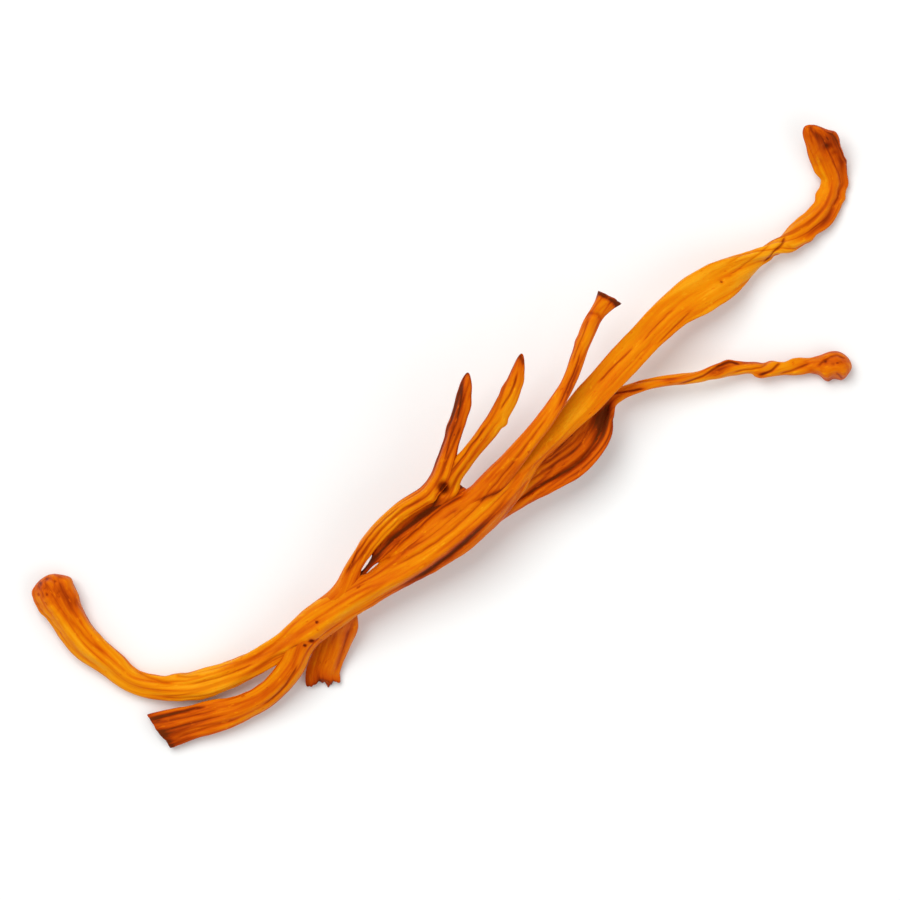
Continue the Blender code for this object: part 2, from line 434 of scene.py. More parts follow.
@dataclass(frozen=True)
class DriedSkinTone:
    """The colour of the dried skin, from its darkest ends to its palest ribs, with painted shade in
    its creases, as a node group.
    """

    name: str = "dried_skin_tone"
    stops: tuple[tuple[float, tuple[int, int, int]], ...] = (
        (0.00, (98, 32, 6)),
        (0.18, (158, 50, 1)),
        (0.38, (201, 83, 1)),
        (0.58, (218, 109, 1)),
        (0.80, (228, 134, 2)),
        (1.00, (237, 158, 20)),
    )
    crease_red: tuple[int, int, int] = (92, 20, 0)
    crease_redder: float = 0.62
    crease_range: Pair = (0.35, 1.1)
    mottle: Pattern = Pattern("mottled patches", (0.30, 1.0, 1.0), 3.0, 0.44)
    streak: Pattern = Pattern("lengthwise streaks", (0.42, 5.5, 5.5), 4.0, 0.32)
    fibre: Pattern = Pattern("fine fibres", (1.3, 16.0, 16.0), 3.0, 0.16)
    fleck: Pattern = Pattern("small dark flecks", (1.6, 4.2, 4.2), 2.0, 0.45)
    fleck_range: Pair = (0.66, 0.76)
    speck_range: Pair = (0.36, 0.26)
    speck_paler: float = 0.20
    roughness: Pair = (0.40, 0.62)
    fibre_relief: float = 0.45

    def group(self) -> bpy.types.NodeTree:
        """Make the group once.

        Returns:
            A group that turns grain, tone and crease into a colour, a roughness and a height.
        """
        made = bpy.data.node_groups.get(self.name)
        if made is not None:
            return made
        tree = bpy.data.node_groups.new(self.name, "ShaderNodeTree")
        for socket, kind in (("Grain", "Vector"), ("Tone", "Float"), ("Crease", "Float")):
            tree.interface.new_socket(socket, in_out="INPUT", socket_type="NodeSocket" + kind)
        for socket, kind in (("Colour", "Color"), ("Roughness", "Float"), ("Height", "Float")):
            tree.interface.new_socket(socket, in_out="OUTPUT", socket_type="NodeSocket" + kind)
        board = NodeBoard(tree)
        given = board.add("NodeGroupInput", "what the strand stores")
        patterns = (self.mottle, self.streak, self.fibre, self.fleck)
        found = {pattern: self.noise(board, given, pattern) for pattern in patterns}
        tone = given.outputs["Tone"]
        for pattern in patterns[:3]:
            label = pattern.label + " in the tone"
            tone = board.math("MULTIPLY_ADD", label, found[pattern], pattern.share, tone)
        middle = 0.5 * (self.mottle.share + self.streak.share + self.fibre.share)
        tone = board.math("SUBTRACT", "tone about its middle", tone, middle)
        spots = board.map_range("only the deepest flecks", found[self.fleck], self.fleck_range)
        flecked = board.math("MULTIPLY", "fleck strength", spots, self.fleck.share)
        specks = board.map_range("small pale specks", found[self.fleck], self.speck_range)
        tone = board.math("MULTIPLY_ADD", "specked tone", specks, self.speck_paler, tone)
        # Painted shade: creases, valleys, pits, holes and the creases between strands go redder,
        # the deepest of them dark red; the small flecks are marks of the skin and take the same
        # colours.
        dark = board.math("MAXIMUM", "creases and flecks", given.outputs["Crease"], flecked)
        tone = board.math("MULTIPLY_ADD", "creases are redder", dark, -self.crease_redder, tone)
        ramp = board.add("ShaderNodeValToRGB", "skin colours")
        self.fill_ramp(ramp)
        board.link(tone, ramp.inputs["Fac"])
        deepest = board.map_range("only the deepest creases are dark", dark, self.crease_range)
        colour = board.add("ShaderNodeMix", "dark in the creases", data_type="RGBA")
        board.link(deepest, colour.inputs["Factor"])
        board.link(ramp.outputs["Color"], colour.inputs[6])
        colour.inputs[7].default_value = screen_colour(*self.crease_red)
        streaks, fibres = found[self.streak], found[self.fibre]
        label = "ribs are glossier than creases"
        rough = board.map_range(label, streaks, (0.0, 1.0), self.roughness)
        label = "fibres on streaks"
        height = board.math("MULTIPLY_ADD", label, fibres, self.fibre_relief, streaks)
        given_back = board.add("NodeGroupOutput", "finish")
        board.link(colour.outputs[2], given_back.inputs["Colour"])
        board.link(rough, given_back.inputs["Roughness"])
        board.link(height, given_back.inputs["Height"])
        return tree

    @staticmethod
    def noise(board: NodeBoard, given: bpy.types.Node, pattern: Pattern) -> bpy.types.NodeSocket:
        """Add noise on the stored grain, stretched along the strand.

        Args:
            board: The tree to add to.
            given: The group's input node.
            pattern: How the noise looks.

        Returns:
            The socket with the noise, 0 to 1.
        """
        stretch = board.add("ShaderNodeMapping", pattern.label + ": stretch")
        stretch.inputs["Scale"].default_value = pattern.scale
        board.link(given.outputs["Grain"], stretch.inputs["Vector"])
        texture = board.add("ShaderNodeTexNoise", pattern.label)
        texture.inputs["Scale"].default_value = 1.0
        texture.inputs["Detail"].default_value = pattern.octaves
        board.link(stretch.outputs["Vector"], texture.inputs["Vector"])
        return texture.outputs["Fac"]

    def fill_ramp(self, ramp: bpy.types.Node) -> None:
        """Set the skin colours on a colour ramp.

        Args:
            ramp: A new ramp node, with two stops.
        """
        elements = ramp.color_ramp.elements
        while len(elements) < len(self.stops):
            elements.new(0.5)
        for element, (place, colour) in zip(elements, self.stops):
            element.position = place
            element.color = screen_colour(*colour)


@dataclass(frozen=True)
class DriedSkin:
    """The leathery skin of one group of strands, made once and shared by them."""

    skin: Skin
    specular: float = 0.20
    gloss_tint: Colour = (1.0, 0.55, 0.12, 1.0)
    glow: float = 0.10
    glow_depth: float = 0.0006
    glow_spread: Triple = (1.0, 0.35, 0.08)
    relief: float = 0.00007
    relief_strength: float = 0.8

    def material(self) -> bpy.types.Material:
        """Make the material.

        Returns:
            The finished material.
        """
        made = bpy.data.materials.get(self.skin.value + "_finish")
        if made is not None:
            return made
        material = bpy.data.materials.new(self.skin.value + "_finish")
        material.use_nodes = True
        board = NodeBoard(material.node_tree)
        surface = material.node_tree.nodes["Principled BSDF"]
        surface.inputs["Specular IOR Level"].default_value = self.specular
        surface.inputs["Specular Tint"].default_value = self.gloss_tint
        surface.inputs["Subsurface Weight"].default_value = self.glow
        surface.inputs["Subsurface Radius"].default_value = self.glow_spread
        surface.inputs["Subsurface Scale"].default_value = self.glow_depth
        tone = board.add("ShaderNodeGroup", "skin tone", node_tree=DriedSkinTone().group())
        for name in ("Grain", "Tone", "Crease"):
            stored = board.add("ShaderNodeAttribute", name, attribute_name=name.lower())
            source = stored.outputs["Vector" if name == "Grain" else "Fac"]
            board.link(source, tone.inputs[name])
        bump = board.add("ShaderNodeBump", "fibrous relief")
        bump.inputs["Distance"].default_value = self.relief
        bump.inputs["Strength"].default_value = self.relief_strength
        board.link(tone.outputs["Height"], bump.inputs["Height"])
        board.link(tone.outputs["Colour"], surface.inputs["Base Color"])
        board.link(tone.outputs["Roughness"], surface.inputs["Roughness"])
        board.link(bump.outputs["Normal"], surface.inputs["Normal"])
        return material


@dataclass
class SkinPoints:
    """The points of a straight strand's skin.

    Each array has one row for each point: its distance along the strand, to the right of it and
    up, its place in the grain, how far it faces up and to the right, how much painted shade
    darkens its crease, and how much lighter its rib is, partly a painted highlight.
    """

    along: np.ndarray
    across: np.ndarray
    height: np.ndarray
    grain: np.ndarray
    facing: np.ndarray
    outward: np.ndarray
    crease: np.ndarray
    rib_pale_and_highlight: np.ndarray


def rolled(wide: np.ndarray, high: np.ndarray, roll: np.ndarray) -> tuple[np.ndarray, np.ndarray]:
    """Turn places in a strand's section about its middle line.

    Args:
        wide: Their distances to the right.
        high: Their heights.
        roll: The turn at each of them, in radians.

    Returns:
        Their distances to the right and their heights after the turn.
    """
    cosine, sine = np.cos(roll), np.sin(roll)
    return wide * cosine - high * sine, wide * sine + high * cosine


class Ribs(NamedTuple):
    """One kind of rib in the skin, with its height, and the width of its valleys and the painted
    shade in them.
    """

    noise: Layer
    height: float
    valley: float
    dark: float

    def lift(self, ridge: np.ndarray) -> np.ndarray:
        """Turn the noise without its sign into a height: round on top, with sharp valleys."""
        return self.height * (ridge**0.8 - 0.30)

    def valleys(self, ridge: np.ndarray) -> np.ndarray:
        """Turn the noise without its sign into how much painted shade darkens the valleys."""
        return self.dark * np.exp(-((ridge / self.valley) ** 2))


@dataclass
class Strand:
    """One strand of the cluster, from its root to its tip."""

    name: str = "strand"
    stands_for: tuple[str, ...] = ()
    stations: Stations = ()
    lead: int = 0
    first: Tip = Tip.ROUND
    last: Tip = Tip.ROUND
    sides: int = 14
    pleats: int = 4
    seed: float = 0.0
    skin: Skin = Skin.DEEP
    ring_step: float = 0.44
    wrinkle: float = 0.10
    wrinkled: Pairs = ((0.0, 1.0),)
    puckered: Pairs = ((0.0, 0.0),)
    tones: Pairs = ((0.0, 0.55),)
    creases: Creases = ()
    pits: Pits = ()
    lumps: Lumps = ()
    blushes_and_painted_light: BlushesAndPaintedLight = ()
    tear: float = 0.0
    slant: float = 0.0
    route: Route = field(init=False)
    piece: bpy.types.Object = field(init=False)

    SUBDIVISIONS = 2
    GRID_STEP = 0.1
    GRID_MARGIN = 1.0
    SWELL = 0.10
    SWELL_RATE = 0.45
    PLEAT_DEPTH = 0.10
    PLEAT_DRIFT = 1.2
    PLEAT_DRIFT_RATE = 0.16
    EDGE_SHARE = 0.4
    CUP_BALANCE = 0.35

    SWAY = Layer((0.20, 0.7, 0.7), 40.0)
    SWAY_WIDTH = 0.14
    BROAD_RIBS = Ribs(Layer((0.045, 1.25, 1.6)), 1.0, 0.12, 0.50)
    FINE_RIBS = Ribs(Layer((0.08, 3.4, 3.6), 17.0), 0.34, 0.12, 0.24)
    KNOTS = Ribs(Layer((1.0, 1.5, 1.6), 53.0), 0.9, 0.18, 0.38)
    UNEVEN = Layer((1.3, 0.9, 0.9), 31.0)
    UNEVEN_SHARE = 0.30
    # How much lighter the rib tops are, partly a painted highlight along the ribs, and the least
    # share of wrinkling it counts with.
    RIB_PALE_AND_HIGHLIGHT = 0.42
    RIB_PALE_AND_HIGHLIGHT_LEAST = 0.4

    CREASE_WOBBLE = 0.05
    CREASE_WOBBLE_RATE = 1.3
    CREASE_STARTS = (-0.05, 0.2)
    CREASE_ENDS = (0.8, 1.05)
    PIT_DARK_CORE = 1.5
    LUMP_SQUARENESS = 2.6
    LUMP_GRIP = 1.4
    END_REACH = 1.2
    RAGGED = Layer((0.0, 1.6, 1.6), 3.0)
    TEETH = Layer((0.0, 4.5, 4.5), 8.0)
    TEETH_SHARE = 0.3

    # How far up the skin has to face before a mark from above shows on it, and shows fully. For the
    # painted side shade the pair says instead where that shade starts to fade and where it is gone.
    CREASE_FACING = (-0.1, 0.45)
    PIT_FACING = (0.0, 0.4)
    TONE_PATCH_FACING = (-0.3, 0.2)
    SIDE_SHADE_FACING = (-0.05, 0.6)
    # Painted shade: how much deeper the tone goes where the skin faces sideways or down, as if
    # turned from the light.
    PAINTED_SIDE_SHADE = 0.12
    # Strands lie this far apart in the grain, so no two of them show the same streaks.
    GRAIN_APART = 11.0

    def build(self) -> bpy.types.Object:
        """Model the strand and put it in its place.

        Returns:
            The finished piece.
        """
        self.route = Route(self.stations, self.lead)
        self.piece = self.blank()
        self.refine()
        self.carve()
        self.bend()
        self.settle()
        self.dress()
        faces = len(self.piece.data.polygons)
        LOG.info("%s: %d faces, %.1f mm long", self.name, faces, self.route.length)
        return self.piece

    def rings(self) -> list[Pair]:
        """List the blank's rings.

        Returns:
            The distance along the strand and the share of its section for each ring.
        """
        length = self.route.length
        start = [(inset - self.route.before, share) for inset, share in self.first.value]
        stop = [(length - inset, share) for inset, share in self.last.value]
        low, high = start[-1][0], stop[-1][0]
        count = max(2, round((high - low) / self.ring_step))
        body = [(low + (high - low) * step / count, 1.0) for step in range(1, count)]
        return start + body + stop[::-1]

    def blank(self) -> bpy.types.Object:
        """Extrude a ring along X, sized at each place as the strand is there.

        Returns:
            The straight closed blank.
        """
        rings = self.rings()
        at = np.array([distance for distance, _ in rings])
        widths = self.route.read(at, "width") / 2 * MM
        thicks = self.route.read(at, "thick") / 2 * MM
        shares = np.array([share for _, share in rings])
        centres = [Vector(((place + self.route.before) * MM, 0, 0)) for place in at]
        bpy.ops.object.select_all(action="DESELECT")
        bpy.ops.mesh.primitive_circle_add(
            vertices=self.sides,
            radius=1.0,
            fill_type="TRIFAN",
            location=centres[0],
            rotation=(0, math.pi / 2, 0),
        )
        blank = bpy.context.object
        blank.name = self.name
        blank.data.name = self.name
        bpy.ops.object.transform_apply(location=True, rotation=True, scale=True)
        bpy.ops.object.mode_set(mode="EDIT")
        bpy.ops.mesh.select_all(action="SELECT")
        first_size = (1.0, widths[0] * shares[0], thicks[0] * shares[0])
        bpy.ops.transform.resize(value=first_size, center_override=centres[0])
        for index in range(1, len(rings)):
            step = (at[index] - at[index - 1]) * MM
            bpy.ops.mesh.extrude_region_move(TRANSFORM_OT_translate={"value": (step, 0, 0)})
            growth = shares[index] / shares[index - 1]
            wider = widths[index] / widths[index - 1] * growth
            thicker = thicks[index] / thicks[index - 1] * growth
            size = (1.0, wider, thicker)
            bpy.ops.transform.resize(value=size, center_override=centres[index])
        bpy.ops.mesh.select_all(action="SELECT")
        bpy.ops.mesh.normals_make_consistent(inside=False)
        bpy.ops.object.mode_set(mode="OBJECT")
        return blank

    def refine(self) -> None:
        """Subdivide the blank finely enough for its creases."""
        smooth = self.piece.modifiers.new("fine_skin", "SUBSURF")
        smooth.levels = self.SUBDIVISIONS
        smooth.render_levels = self.SUBDIVISIONS
        bpy.context.view_layer.objects.active = self.piece
        bpy.ops.object.modifier_apply(modifier=smooth.name)

    def carve(self) -> None:
        """Give the straight strand its pleats, wrinkles, creases, pits and lumps."""
        points = self.wrinkled_skin()
        tone = self.tone(points)
        self.press(points)
        self.store(points, tone)

    def wrinkled_skin(self) -> SkinPoints:
        """Pleat and wrinkle the refined blank, and roll its section.

        Returns:
            The points of the skin, in the order of the blank's vertices.
        """
        along, left, up = (read_places(self.piece.data) / MM).T
        along = along - self.route.before
        half_width = self.route.read(along, "width") / 2
        half_thick = self.route.read(along, "thick") / 2
        turn = np.arctan2(up / half_thick, -left / half_width)
        fill = np.hypot(up / half_thick, left / half_width)
        edge, rise = np.cos(turn), np.sin(turn)
        pleat = self.pleat(along, turn)
        swell = 1 + self.along_noise(along, self.SWELL_RATE, self.seed, 0.0) * self.SWELL
        wide = edge * half_width * swell * (1 + self.EDGE_SHARE * (pleat - 1)) * fill
        cup = self.route.read(along, "cup") * (edge * edge - self.CUP_BALANCE)
        high = (rise * half_thick * pleat + cup) * fill
        grain = np.stack((along, edge * half_width * fill, rise * half_thick * fill), axis=1)
        lift, crease, rib_pale_and_highlight = self.wrinkles(grain)
        normal = np.stack((edge / half_width, rise / half_thick))
        normal /= np.linalg.norm(normal, axis=0)
        wide += lift * normal[0] * fill
        high += lift * normal[1] * fill
        roll = np.radians(self.route.read(along, "roll"))
        across, height = rolled(wide, high, roll)
        outward, facing = rolled(normal[0], normal[1], roll)
        return SkinPoints(along, across, height, grain, facing, outward, crease, rib_pale_and_highlight)

    def along_noise(
        self, along: np.ndarray, rate: float, seed: float, third: float
    ) -> np.ndarray:
        """Read slow noise along the strand, the same as in its solid.

        Args:
            along: Distances along the strand.
            rate: Cycles for each millimetre.
            seed: Which noise this is.
            third: The noise's third coordinate.

        Returns:
            One value for each distance.
        """
        first = -self.route.before - self.GRID_MARGIN
        grid = np.arange(first, self.route.length + self.GRID_MARGIN, self.GRID_STEP)
        values = [noise(Vector((step * rate, seed, third))) for step in grid]
        return np.interp(along, grid, values)

    def pleat(self, along: np.ndarray, turn: np.ndarray) -> np.ndarray:
        """Find the strand's few broad pleats.

        Args:
            along: Distances along the strand.
            turn: Angles round its section, in radians.

        Returns:
            The share of the strand's radius at each point.
        """
        wander = self.along_noise(along, self.PLEAT_DRIFT_RATE, self.seed + 5.0, 2.0)
        drift = self.PLEAT_DRIFT * wander * math.pi
        return 1 + self.PLEAT_DEPTH * np.cos(self.pleats * turn + drift)

    def wrinkles(self, grain: np.ndarray) -> tuple[np.ndarray, np.ndarray, np.ndarray]:
        """Find the dried skin's wrinkles: rounded ribs with sharp valleys, drawn out lengthwise.

        Args:
            grain: Points in the straight strand.

        Returns:
            How far each point is lifted, how much painted shade darkens its crease, and how much
            lighter its rib is, partly a painted highlight.
        """
        amount = np.interp(grain[:, 0], *zip(*self.wrinkled))
        shrunk = np.interp(grain[:, 0], *zip(*self.puckered))
        skin_noise = SkinNoise(int(self.seed * 10) + 3)
        sway = self.SWAY_WIDTH * skin_noise.at(grain, self.SWAY)[:, None] * (0, 1, 1)
        broad = np.abs(skin_noise.at(grain + sway, self.BROAD_RIBS.noise))
        fine = np.abs(skin_noise.at(grain + sway, self.FINE_RIBS.noise))
        knots = np.abs(skin_noise.at(grain, self.KNOTS.noise))
        uneven = skin_noise.at(grain, self.UNEVEN)
        ribs = self.BROAD_RIBS.lift(broad) + self.FINE_RIBS.lift(fine)
        lift = amount * (ribs + self.UNEVEN_SHARE * uneven) + shrunk * self.KNOTS.lift(knots)
        # Painted shade in the sharp valleys between the ribs and the knots.
        valleys = np.maximum(self.BROAD_RIBS.valleys(broad), self.FINE_RIBS.valleys(fine))
        valleys *= np.clip(amount, 0, 1)
        crease = np.maximum(valleys, self.KNOTS.valleys(knots) * np.clip(shrunk, 0, 1))
        # Rib tops are lighter, partly a painted highlight along the ribs.
        rib_pale_and_highlight = self.RIB_PALE_AND_HIGHLIGHT * ribs * np.clip(amount, self.RIB_PALE_AND_HIGHLIGHT_LEAST, 1)
        return self.wrinkle * lift, crease, rib_pale_and_highlight

    def tone(self, points: SkinPoints) -> np.ndarray:
        """Find how pale the skin is, from its course along the strand, its patches, its ribs and
        painted shade.

        Args:
            points: The skin, before anything is pressed into it.

        Returns:
            The tone at each point, from 0 for the darkest to 1.
        """
        tone = np.interp(points.along, *zip(*self.tones))
        shown = smooth_step(points.facing, *self.TONE_PATCH_FACING)
        # Patches of lighter and deeper tone, some of them painted highlights and shade.
        for tone_patch in self.blushes_and_painted_light:
            far = ((points.along - tone_patch.along) / tone_patch.length) ** 2
            far = far + ((points.across - tone_patch.across) / tone_patch.breadth) ** 2
            tone = tone + tone_patch.change * np.exp(-far) * shown
        # Painted shade on the skin that faces sideways or down; the rib tops are lighter, partly a
        # painted highlight.
        shaded_sides = 1 - smooth_step(points.facing, *self.SIDE_SHADE_FACING)
        return tone - self.PAINTED_SIDE_SHADE * shaded_sides + points.rib_pale_and_highlight

    def press(self, points: SkinPoints) -> None:
        """Press the creases and pits into the skin, darken them with painted shade, and push out
        the lumps on its rims.

        Args:
            points: The skin, which is changed.
        """
        creased = smooth_step(points.facing, *self.CREASE_FACING)
        for mark in self.creases:
            hold = self.crease_hold(mark, points) * creased
            points.height -= mark.depth * hold
            points.crease = np.maximum(points.crease, mark.dark * hold)
        pitted = smooth_step(points.facing, *self.PIT_FACING)
        for pit in self.pits:
            near = np.hypot(points.along - pit.along, points.across - pit.across) / pit.radius
            hold = np.exp(-near * near) * pitted
            points.height -= pit.depth * hold
            points.crease = np.maximum(points.crease, pit.dark * hold**self.PIT_DARK_CORE)
        for lump in self.lumps:
            near = np.abs(points.along - lump.along) / lump.length
            side = np.clip(self.LUMP_GRIP * points.outward * lump.side, 0, 1)
            push = np.exp(-(near**self.LUMP_SQUARENESS)) * side
            points.across += lump.height * lump.side * push

    def crease_hold(self, mark: Crease, points: SkinPoints) -> np.ndarray:
        """Find how strongly a crease holds each point.

        Args:
            mark: The crease.
            points: The skin.

        Returns:
            One share for each point, from 0 to 1.
        """
        seed = self.seed + mark.course[0][0]
        wobble = self.along_noise(points.along, self.CREASE_WOBBLE_RATE, seed, 7.0)
        places = np.stack((points.along, points.across - self.CREASE_WOBBLE * wobble))
        nearest = np.full(len(points.along), np.inf)
        passed = np.zeros(len(points.along))
        pieces = list(zip(mark.course, mark.course[1:]))
        for index, (start, end) in enumerate(pieces):
            step = np.subtract(end, start)
            offset = places - np.array(start)[:, None]
            share = np.clip(step @ offset / (step @ step), 0, 1)
            away = np.hypot(*(offset - step[:, None] * share))
            closer = away < nearest
            nearest = np.where(closer, away, nearest)
            passed = np.where(closer, (index + share) / len(pieces), passed)
        begun = smooth_step(passed, *self.CREASE_STARTS)
        run = begun * (1 - smooth_step(passed, *self.CREASE_ENDS))
        return np.exp(-((nearest / mark.width) ** 2)) * run

    def torn(self, points: SkinPoints) -> np.ndarray:
        """Find how far a torn or slanted end is pulled along the strand.

        Args:
            points: The skin.

        Returns:
            One distance for each point, 0 away from the end.
        """
        seed = int(self.seed * 10)
        ragged = SkinNoise(seed + 9).at(points.grain, self.RAGGED)
        teeth = SkinNoise(seed + 5).at(points.grain, self.TEETH)
        length = self.route.length
        near_end = smooth_step(points.along, length - self.END_REACH, length)
        tears = self.tear * (ragged + self.TEETH_SHARE * teeth)
        return near_end * (tears + self.slant * points.across)

    def store(self, points: SkinPoints, tone: np.ndarray) -> None:
        """Move the blank's vertices to the carved skin and store what its finish reads.

        Args:
            points: The carved skin.
            tone: How pale it is at each point.
        """
        mesh = self.piece.data
        for name, values in (("tone", tone), ("crease", points.crease)):
            stored = mesh.attributes.new(name, "FLOAT", "POINT")
            stored.data.foreach_set("value", np.clip(values, -1, 2).astype(np.float32))
        stored = mesh.attributes.new("grain", "FLOAT_VECTOR", "POINT")
        grain = points.grain + self.seed * self.GRAIN_APART
        stored.data.foreach_set("vector", grain.astype(np.float32).ravel())
        along = points.along + self.torn(points) + self.route.before
        write_places(mesh, np.stack((along, -points.across, points.height), axis=1) * MM)

    def bend(self) -> None:
        """Bend the straight strand along its guide curve."""
        guide = self.route.guide(self.name + "_guide")
        bending = self.piece.modifiers.new("bend", "CURVE")
        bending.object = guide
        bending.deform_axis = "POS_X"
        bpy.ops.object.select_all(action="DESELECT")
        self.piece.select_set(True)
        bpy.context.view_layer.objects.active = self.piece
        bpy.ops.object.modifier_apply(modifier=bending.name)
        bpy.data.objects.remove(guide)

    def settle(self) -> None:
        """Flatten the underside where the strand rests on the surface."""
        places = read_places(self.piece.data)
        places[:, 2] = np.maximum(places[:, 2], 0)
        write_places(self.piece.data, places)
        self.piece.data.shade_smooth()

    def dress(self) -> None:
        """Give the strand its finish and tie it to the frame."""
        self.piece.data.materials.clear()
        self.piece.data.materials.append(DriedSkin(self.skin).material())
        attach(self.piece, "root")
        if self.stands_for:
            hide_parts(*self.stands_for)


@dataclass
class MainStrand(Strand):
    """The longest strand: the round-tipped branch, the trunk and the long blade in one."""

    name: str = "main_strand"
    stands_for: tuple[str, ...] = ("round_tipped_branch", "fused_trunk", "long_blade")
    sides: int = 20
    pleats: int = 5
    seed: float = 1.0
    ring_step: float = 0.42
    wrinkle: float = 0.12
    slant: float = -0.60
    stations: Stations = (
        Station(-27.9, -10.2, 1.05, 2.4, 2.3),
        Station(-27.2, -11.6, 1.05, 2.9, 2.5),
        Station(-25.5, -14.5, 0.95, 2.35, 2.0, 8, 0.1),
        Station(-23.5, -16.2, 0.85, 2.0, 1.8, -6, 0.1),
        Station(-21.7, -17.6, 0.75, 1.7, 1.6, -10, 0.1),
        Station(-19.0, -18.05, 0.80, 1.8, 1.6, 6, 0.2),
        Station(-16.2, -17.5, 1.15, 2.0, 1.5, 10, 0.2),
        Station(-13.6, -16.4, 1.75, 1.75, 1.5, 6, 0.1),
        Station(-11.4, -15.0, 2.35, 1.75, 1.6),
        Station(-9.3, -13.6, 2.85, 2.3, 1.9),
        Station(-7.2, -12.3, 3.30, 2.1, 1.9),
        Station(-4.6, -10.7, 3.80, 2.1, 1.9, -4),
        Station(-2.0, -9.1, 4.25, 2.5, 2.0, -8),
        Station(0.2, -7.6, 4.60, 2.9, 2.0, -10),
        Station(2.3, -5.9, 4.90, 2.7, 1.8, -8),
        Station(4.0, -4.3, 5.05, 2.2, 1.5, -6),
        Station(6.0, -2.0, 5.00, 1.4, 1.1, 0),
        Station(7.9, 0.1, 4.95, 1.7, 1.0, 0, 0.1),
        Station(10.0, 2.3, 4.75, 2.2, 1.0, 4, 0.2),
        Station(12.9, 5.4, 4.20, 2.3, 1.1, 6, 0.25),
        Station(15.5, 8.0, 3.45, 2.5, 1.1, 4, 0.3),
        Station(17.8, 9.6, 2.80, 3.0, 1.0, 0, 0.35),
        Station(19.8, 10.8, 2.25, 2.6, 1.0, -14, 0.25),
        Station(21.5, 11.8, 1.80, 1.6, 1.0, -45, 0.1),
        Station(22.9, 12.6, 1.45, 1.2, 1.1, -100, 0.0),
        Station(24.4, 13.5, 1.00, 1.7, 1.0, -160, 0.1),
        Station(26.4, 15.3, 0.50, 1.8, 1.1, -180, 0.1),
        Station(27.05, 17.2, 0.50, 1.9, 1.1, -184, 0.1),
        Station(26.7, 18.6, 1.05, 2.3, 1.0, -170, -0.2),
        Station(26.20, 19.8, 1.85, 2.30, 0.9, -165, -0.3),
        Station(25.55, 21.15, 2.60, 1.62, 0.8, -165, -0.1),
    )
    wrinkled: Pairs = (
        (0, 0.5), (3, 0.8), (6, 0.7), (12, 0.9), (20, 0.8), (26, 0.6), (31, 0.8), (38, 0.6),
        (43, 0.6), (47, 0.30), (60, 0.4), (64, 0.9), (67, 1.0), (74, 0.8), (78, 0.5),
    )
    puckered: Pairs = (
        (0, 1.0), (1.8, 0.8), (3.5, 0.15), (6, 0), (66, 0), (68, 0.25), (74, 0.3), (78, 0.5),
    )
    tones: Pairs = (
        (0, 0.60), (2, 0.60), (4.5, 0.68), (9, 0.82), (13, 0.92), (16, 0.98), (19, 0.72),
        (22, 0.74), (25, 0.76), (28, 0.58), (34, 0.58), (37, 0.56), (40, 0.74), (43, 0.69),
        (46, 0.68), (50, 0.68), (54, 0.78), (58, 0.80), (61, 0.82), (64, 0.94), (67, 0.90),
        (70, 0.60), (73, 0.68), (75.6, 0.44), (78, 0.42),
    )
    creases: Creases = (
        Crease(((0.3, 0.75), (0.9, 0.65), (1.4, 0.85)), 0.12, 0.08, 0.45),
        Crease(((0.4, 0.25), (1.0, 0.05), (1.7, 0.25)), 0.12, 0.08, 0.40),
        Crease(((3.2, -0.1), (5.0, -0.35), (7.5, -0.3)), 0.15, 0.10, 0.45),
        Crease(((9.4, -0.75), (11.0, -0.55), (12.9, -0.25)), 0.13, 0.12, 0.5),
        Crease(((12.7, -0.78), (13.7, -0.7), (15.0, -0.6)), 0.12, 0.08, 0.5),
        Crease(((13.2, -0.15), (15.5, -0.12), (17.5, -0.05), (19.2, 0.0)), 0.09, 0.09, 0.6),
        Crease(((10.5, 0.25), (13.0, 0.3), (16.0, 0.4)), 0.08, 0.05, 0.3),
        Crease(((17.8, -0.35), (20.0, -0.3), (22.2, -0.4)), 0.08, 0.06, 0.35),
        Crease(((19.0, 0.35), (20.5, 0.4), (22.4, 0.55)), 0.10, 0.07, 0.45),
        Crease(((24.2, -0.1), (27.0, -0.3), (29.2, -0.15)), 0.10, 0.06, 0.35),
        Crease(((30.3, -0.5), (33.5, -0.35), (37.0, -0.45), (39.8, -0.7)), 0.12, 0.12, 0.6),
        Crease(((32.6, 0.35), (36.0, 0.15), (39.0, 0.12), (41.6, 0.1)), 0.10, 0.08, 0.45),
        Crease(((30.4, 0.95), (32.5, 0.95), (34.5, 0.85), (37.0, 0.65), (39.0, 0.5), (42.9, 0.1)),
               0.20, 0.14, 0.5),
        Crease(((31.0, -0.95), (34.0, -0.9), (37.0, -1.0), (41.0, -0.95)), 0.10, 0.10, 0.5),
        Crease(((49.8, -0.25), (51.5, -0.22), (53.8, -0.12)), 0.08, 0.06, 0.7),
        Crease(((53.9, 0.05), (56.0, -0.05), (57.8, -0.12)), 0.08, 0.05, 0.6),
        Crease(((54.4, 0.95), (56.8, 0.9), (58.8, 0.7)), 0.08, 0.05, 0.6),
        Crease(((49.6, 0.45), (53.0, 0.5), (57.2, 0.4)), 0.09, 0.05, 0.35),
        Crease(((61.5, 0.12), (62.8, 0.0), (64.5, -0.2), (66.4, -0.5)), 0.08, 0.06, 0.55),
        Crease(((62.0, -0.7), (63.6, -0.75), (65.0, -0.6)), 0.08, 0.05, 0.45),
        Crease(((64.5, 0.5), (65.6, 0.25), (66.4, -0.05), (67.1, -0.45)), 0.11, 0.16, 0.85),
        Crease(((66.9, 0.2), (68.3, 0.50), (69.6, 0.50), (71.0, 0.35), (72.2, 0.5), (74.0, 0.7),
                (76.0, 0.3)), 0.20, 0.14, 0.42),
        Crease(((68.3, -0.1), (69.6, -0.05), (70.8, -0.3)), 0.10, 0.08, 0.45),
        Crease(((72.0, -0.3), (73.5, -0.45), (75.2, -0.6)), 0.10, 0.06, 0.4),
    )
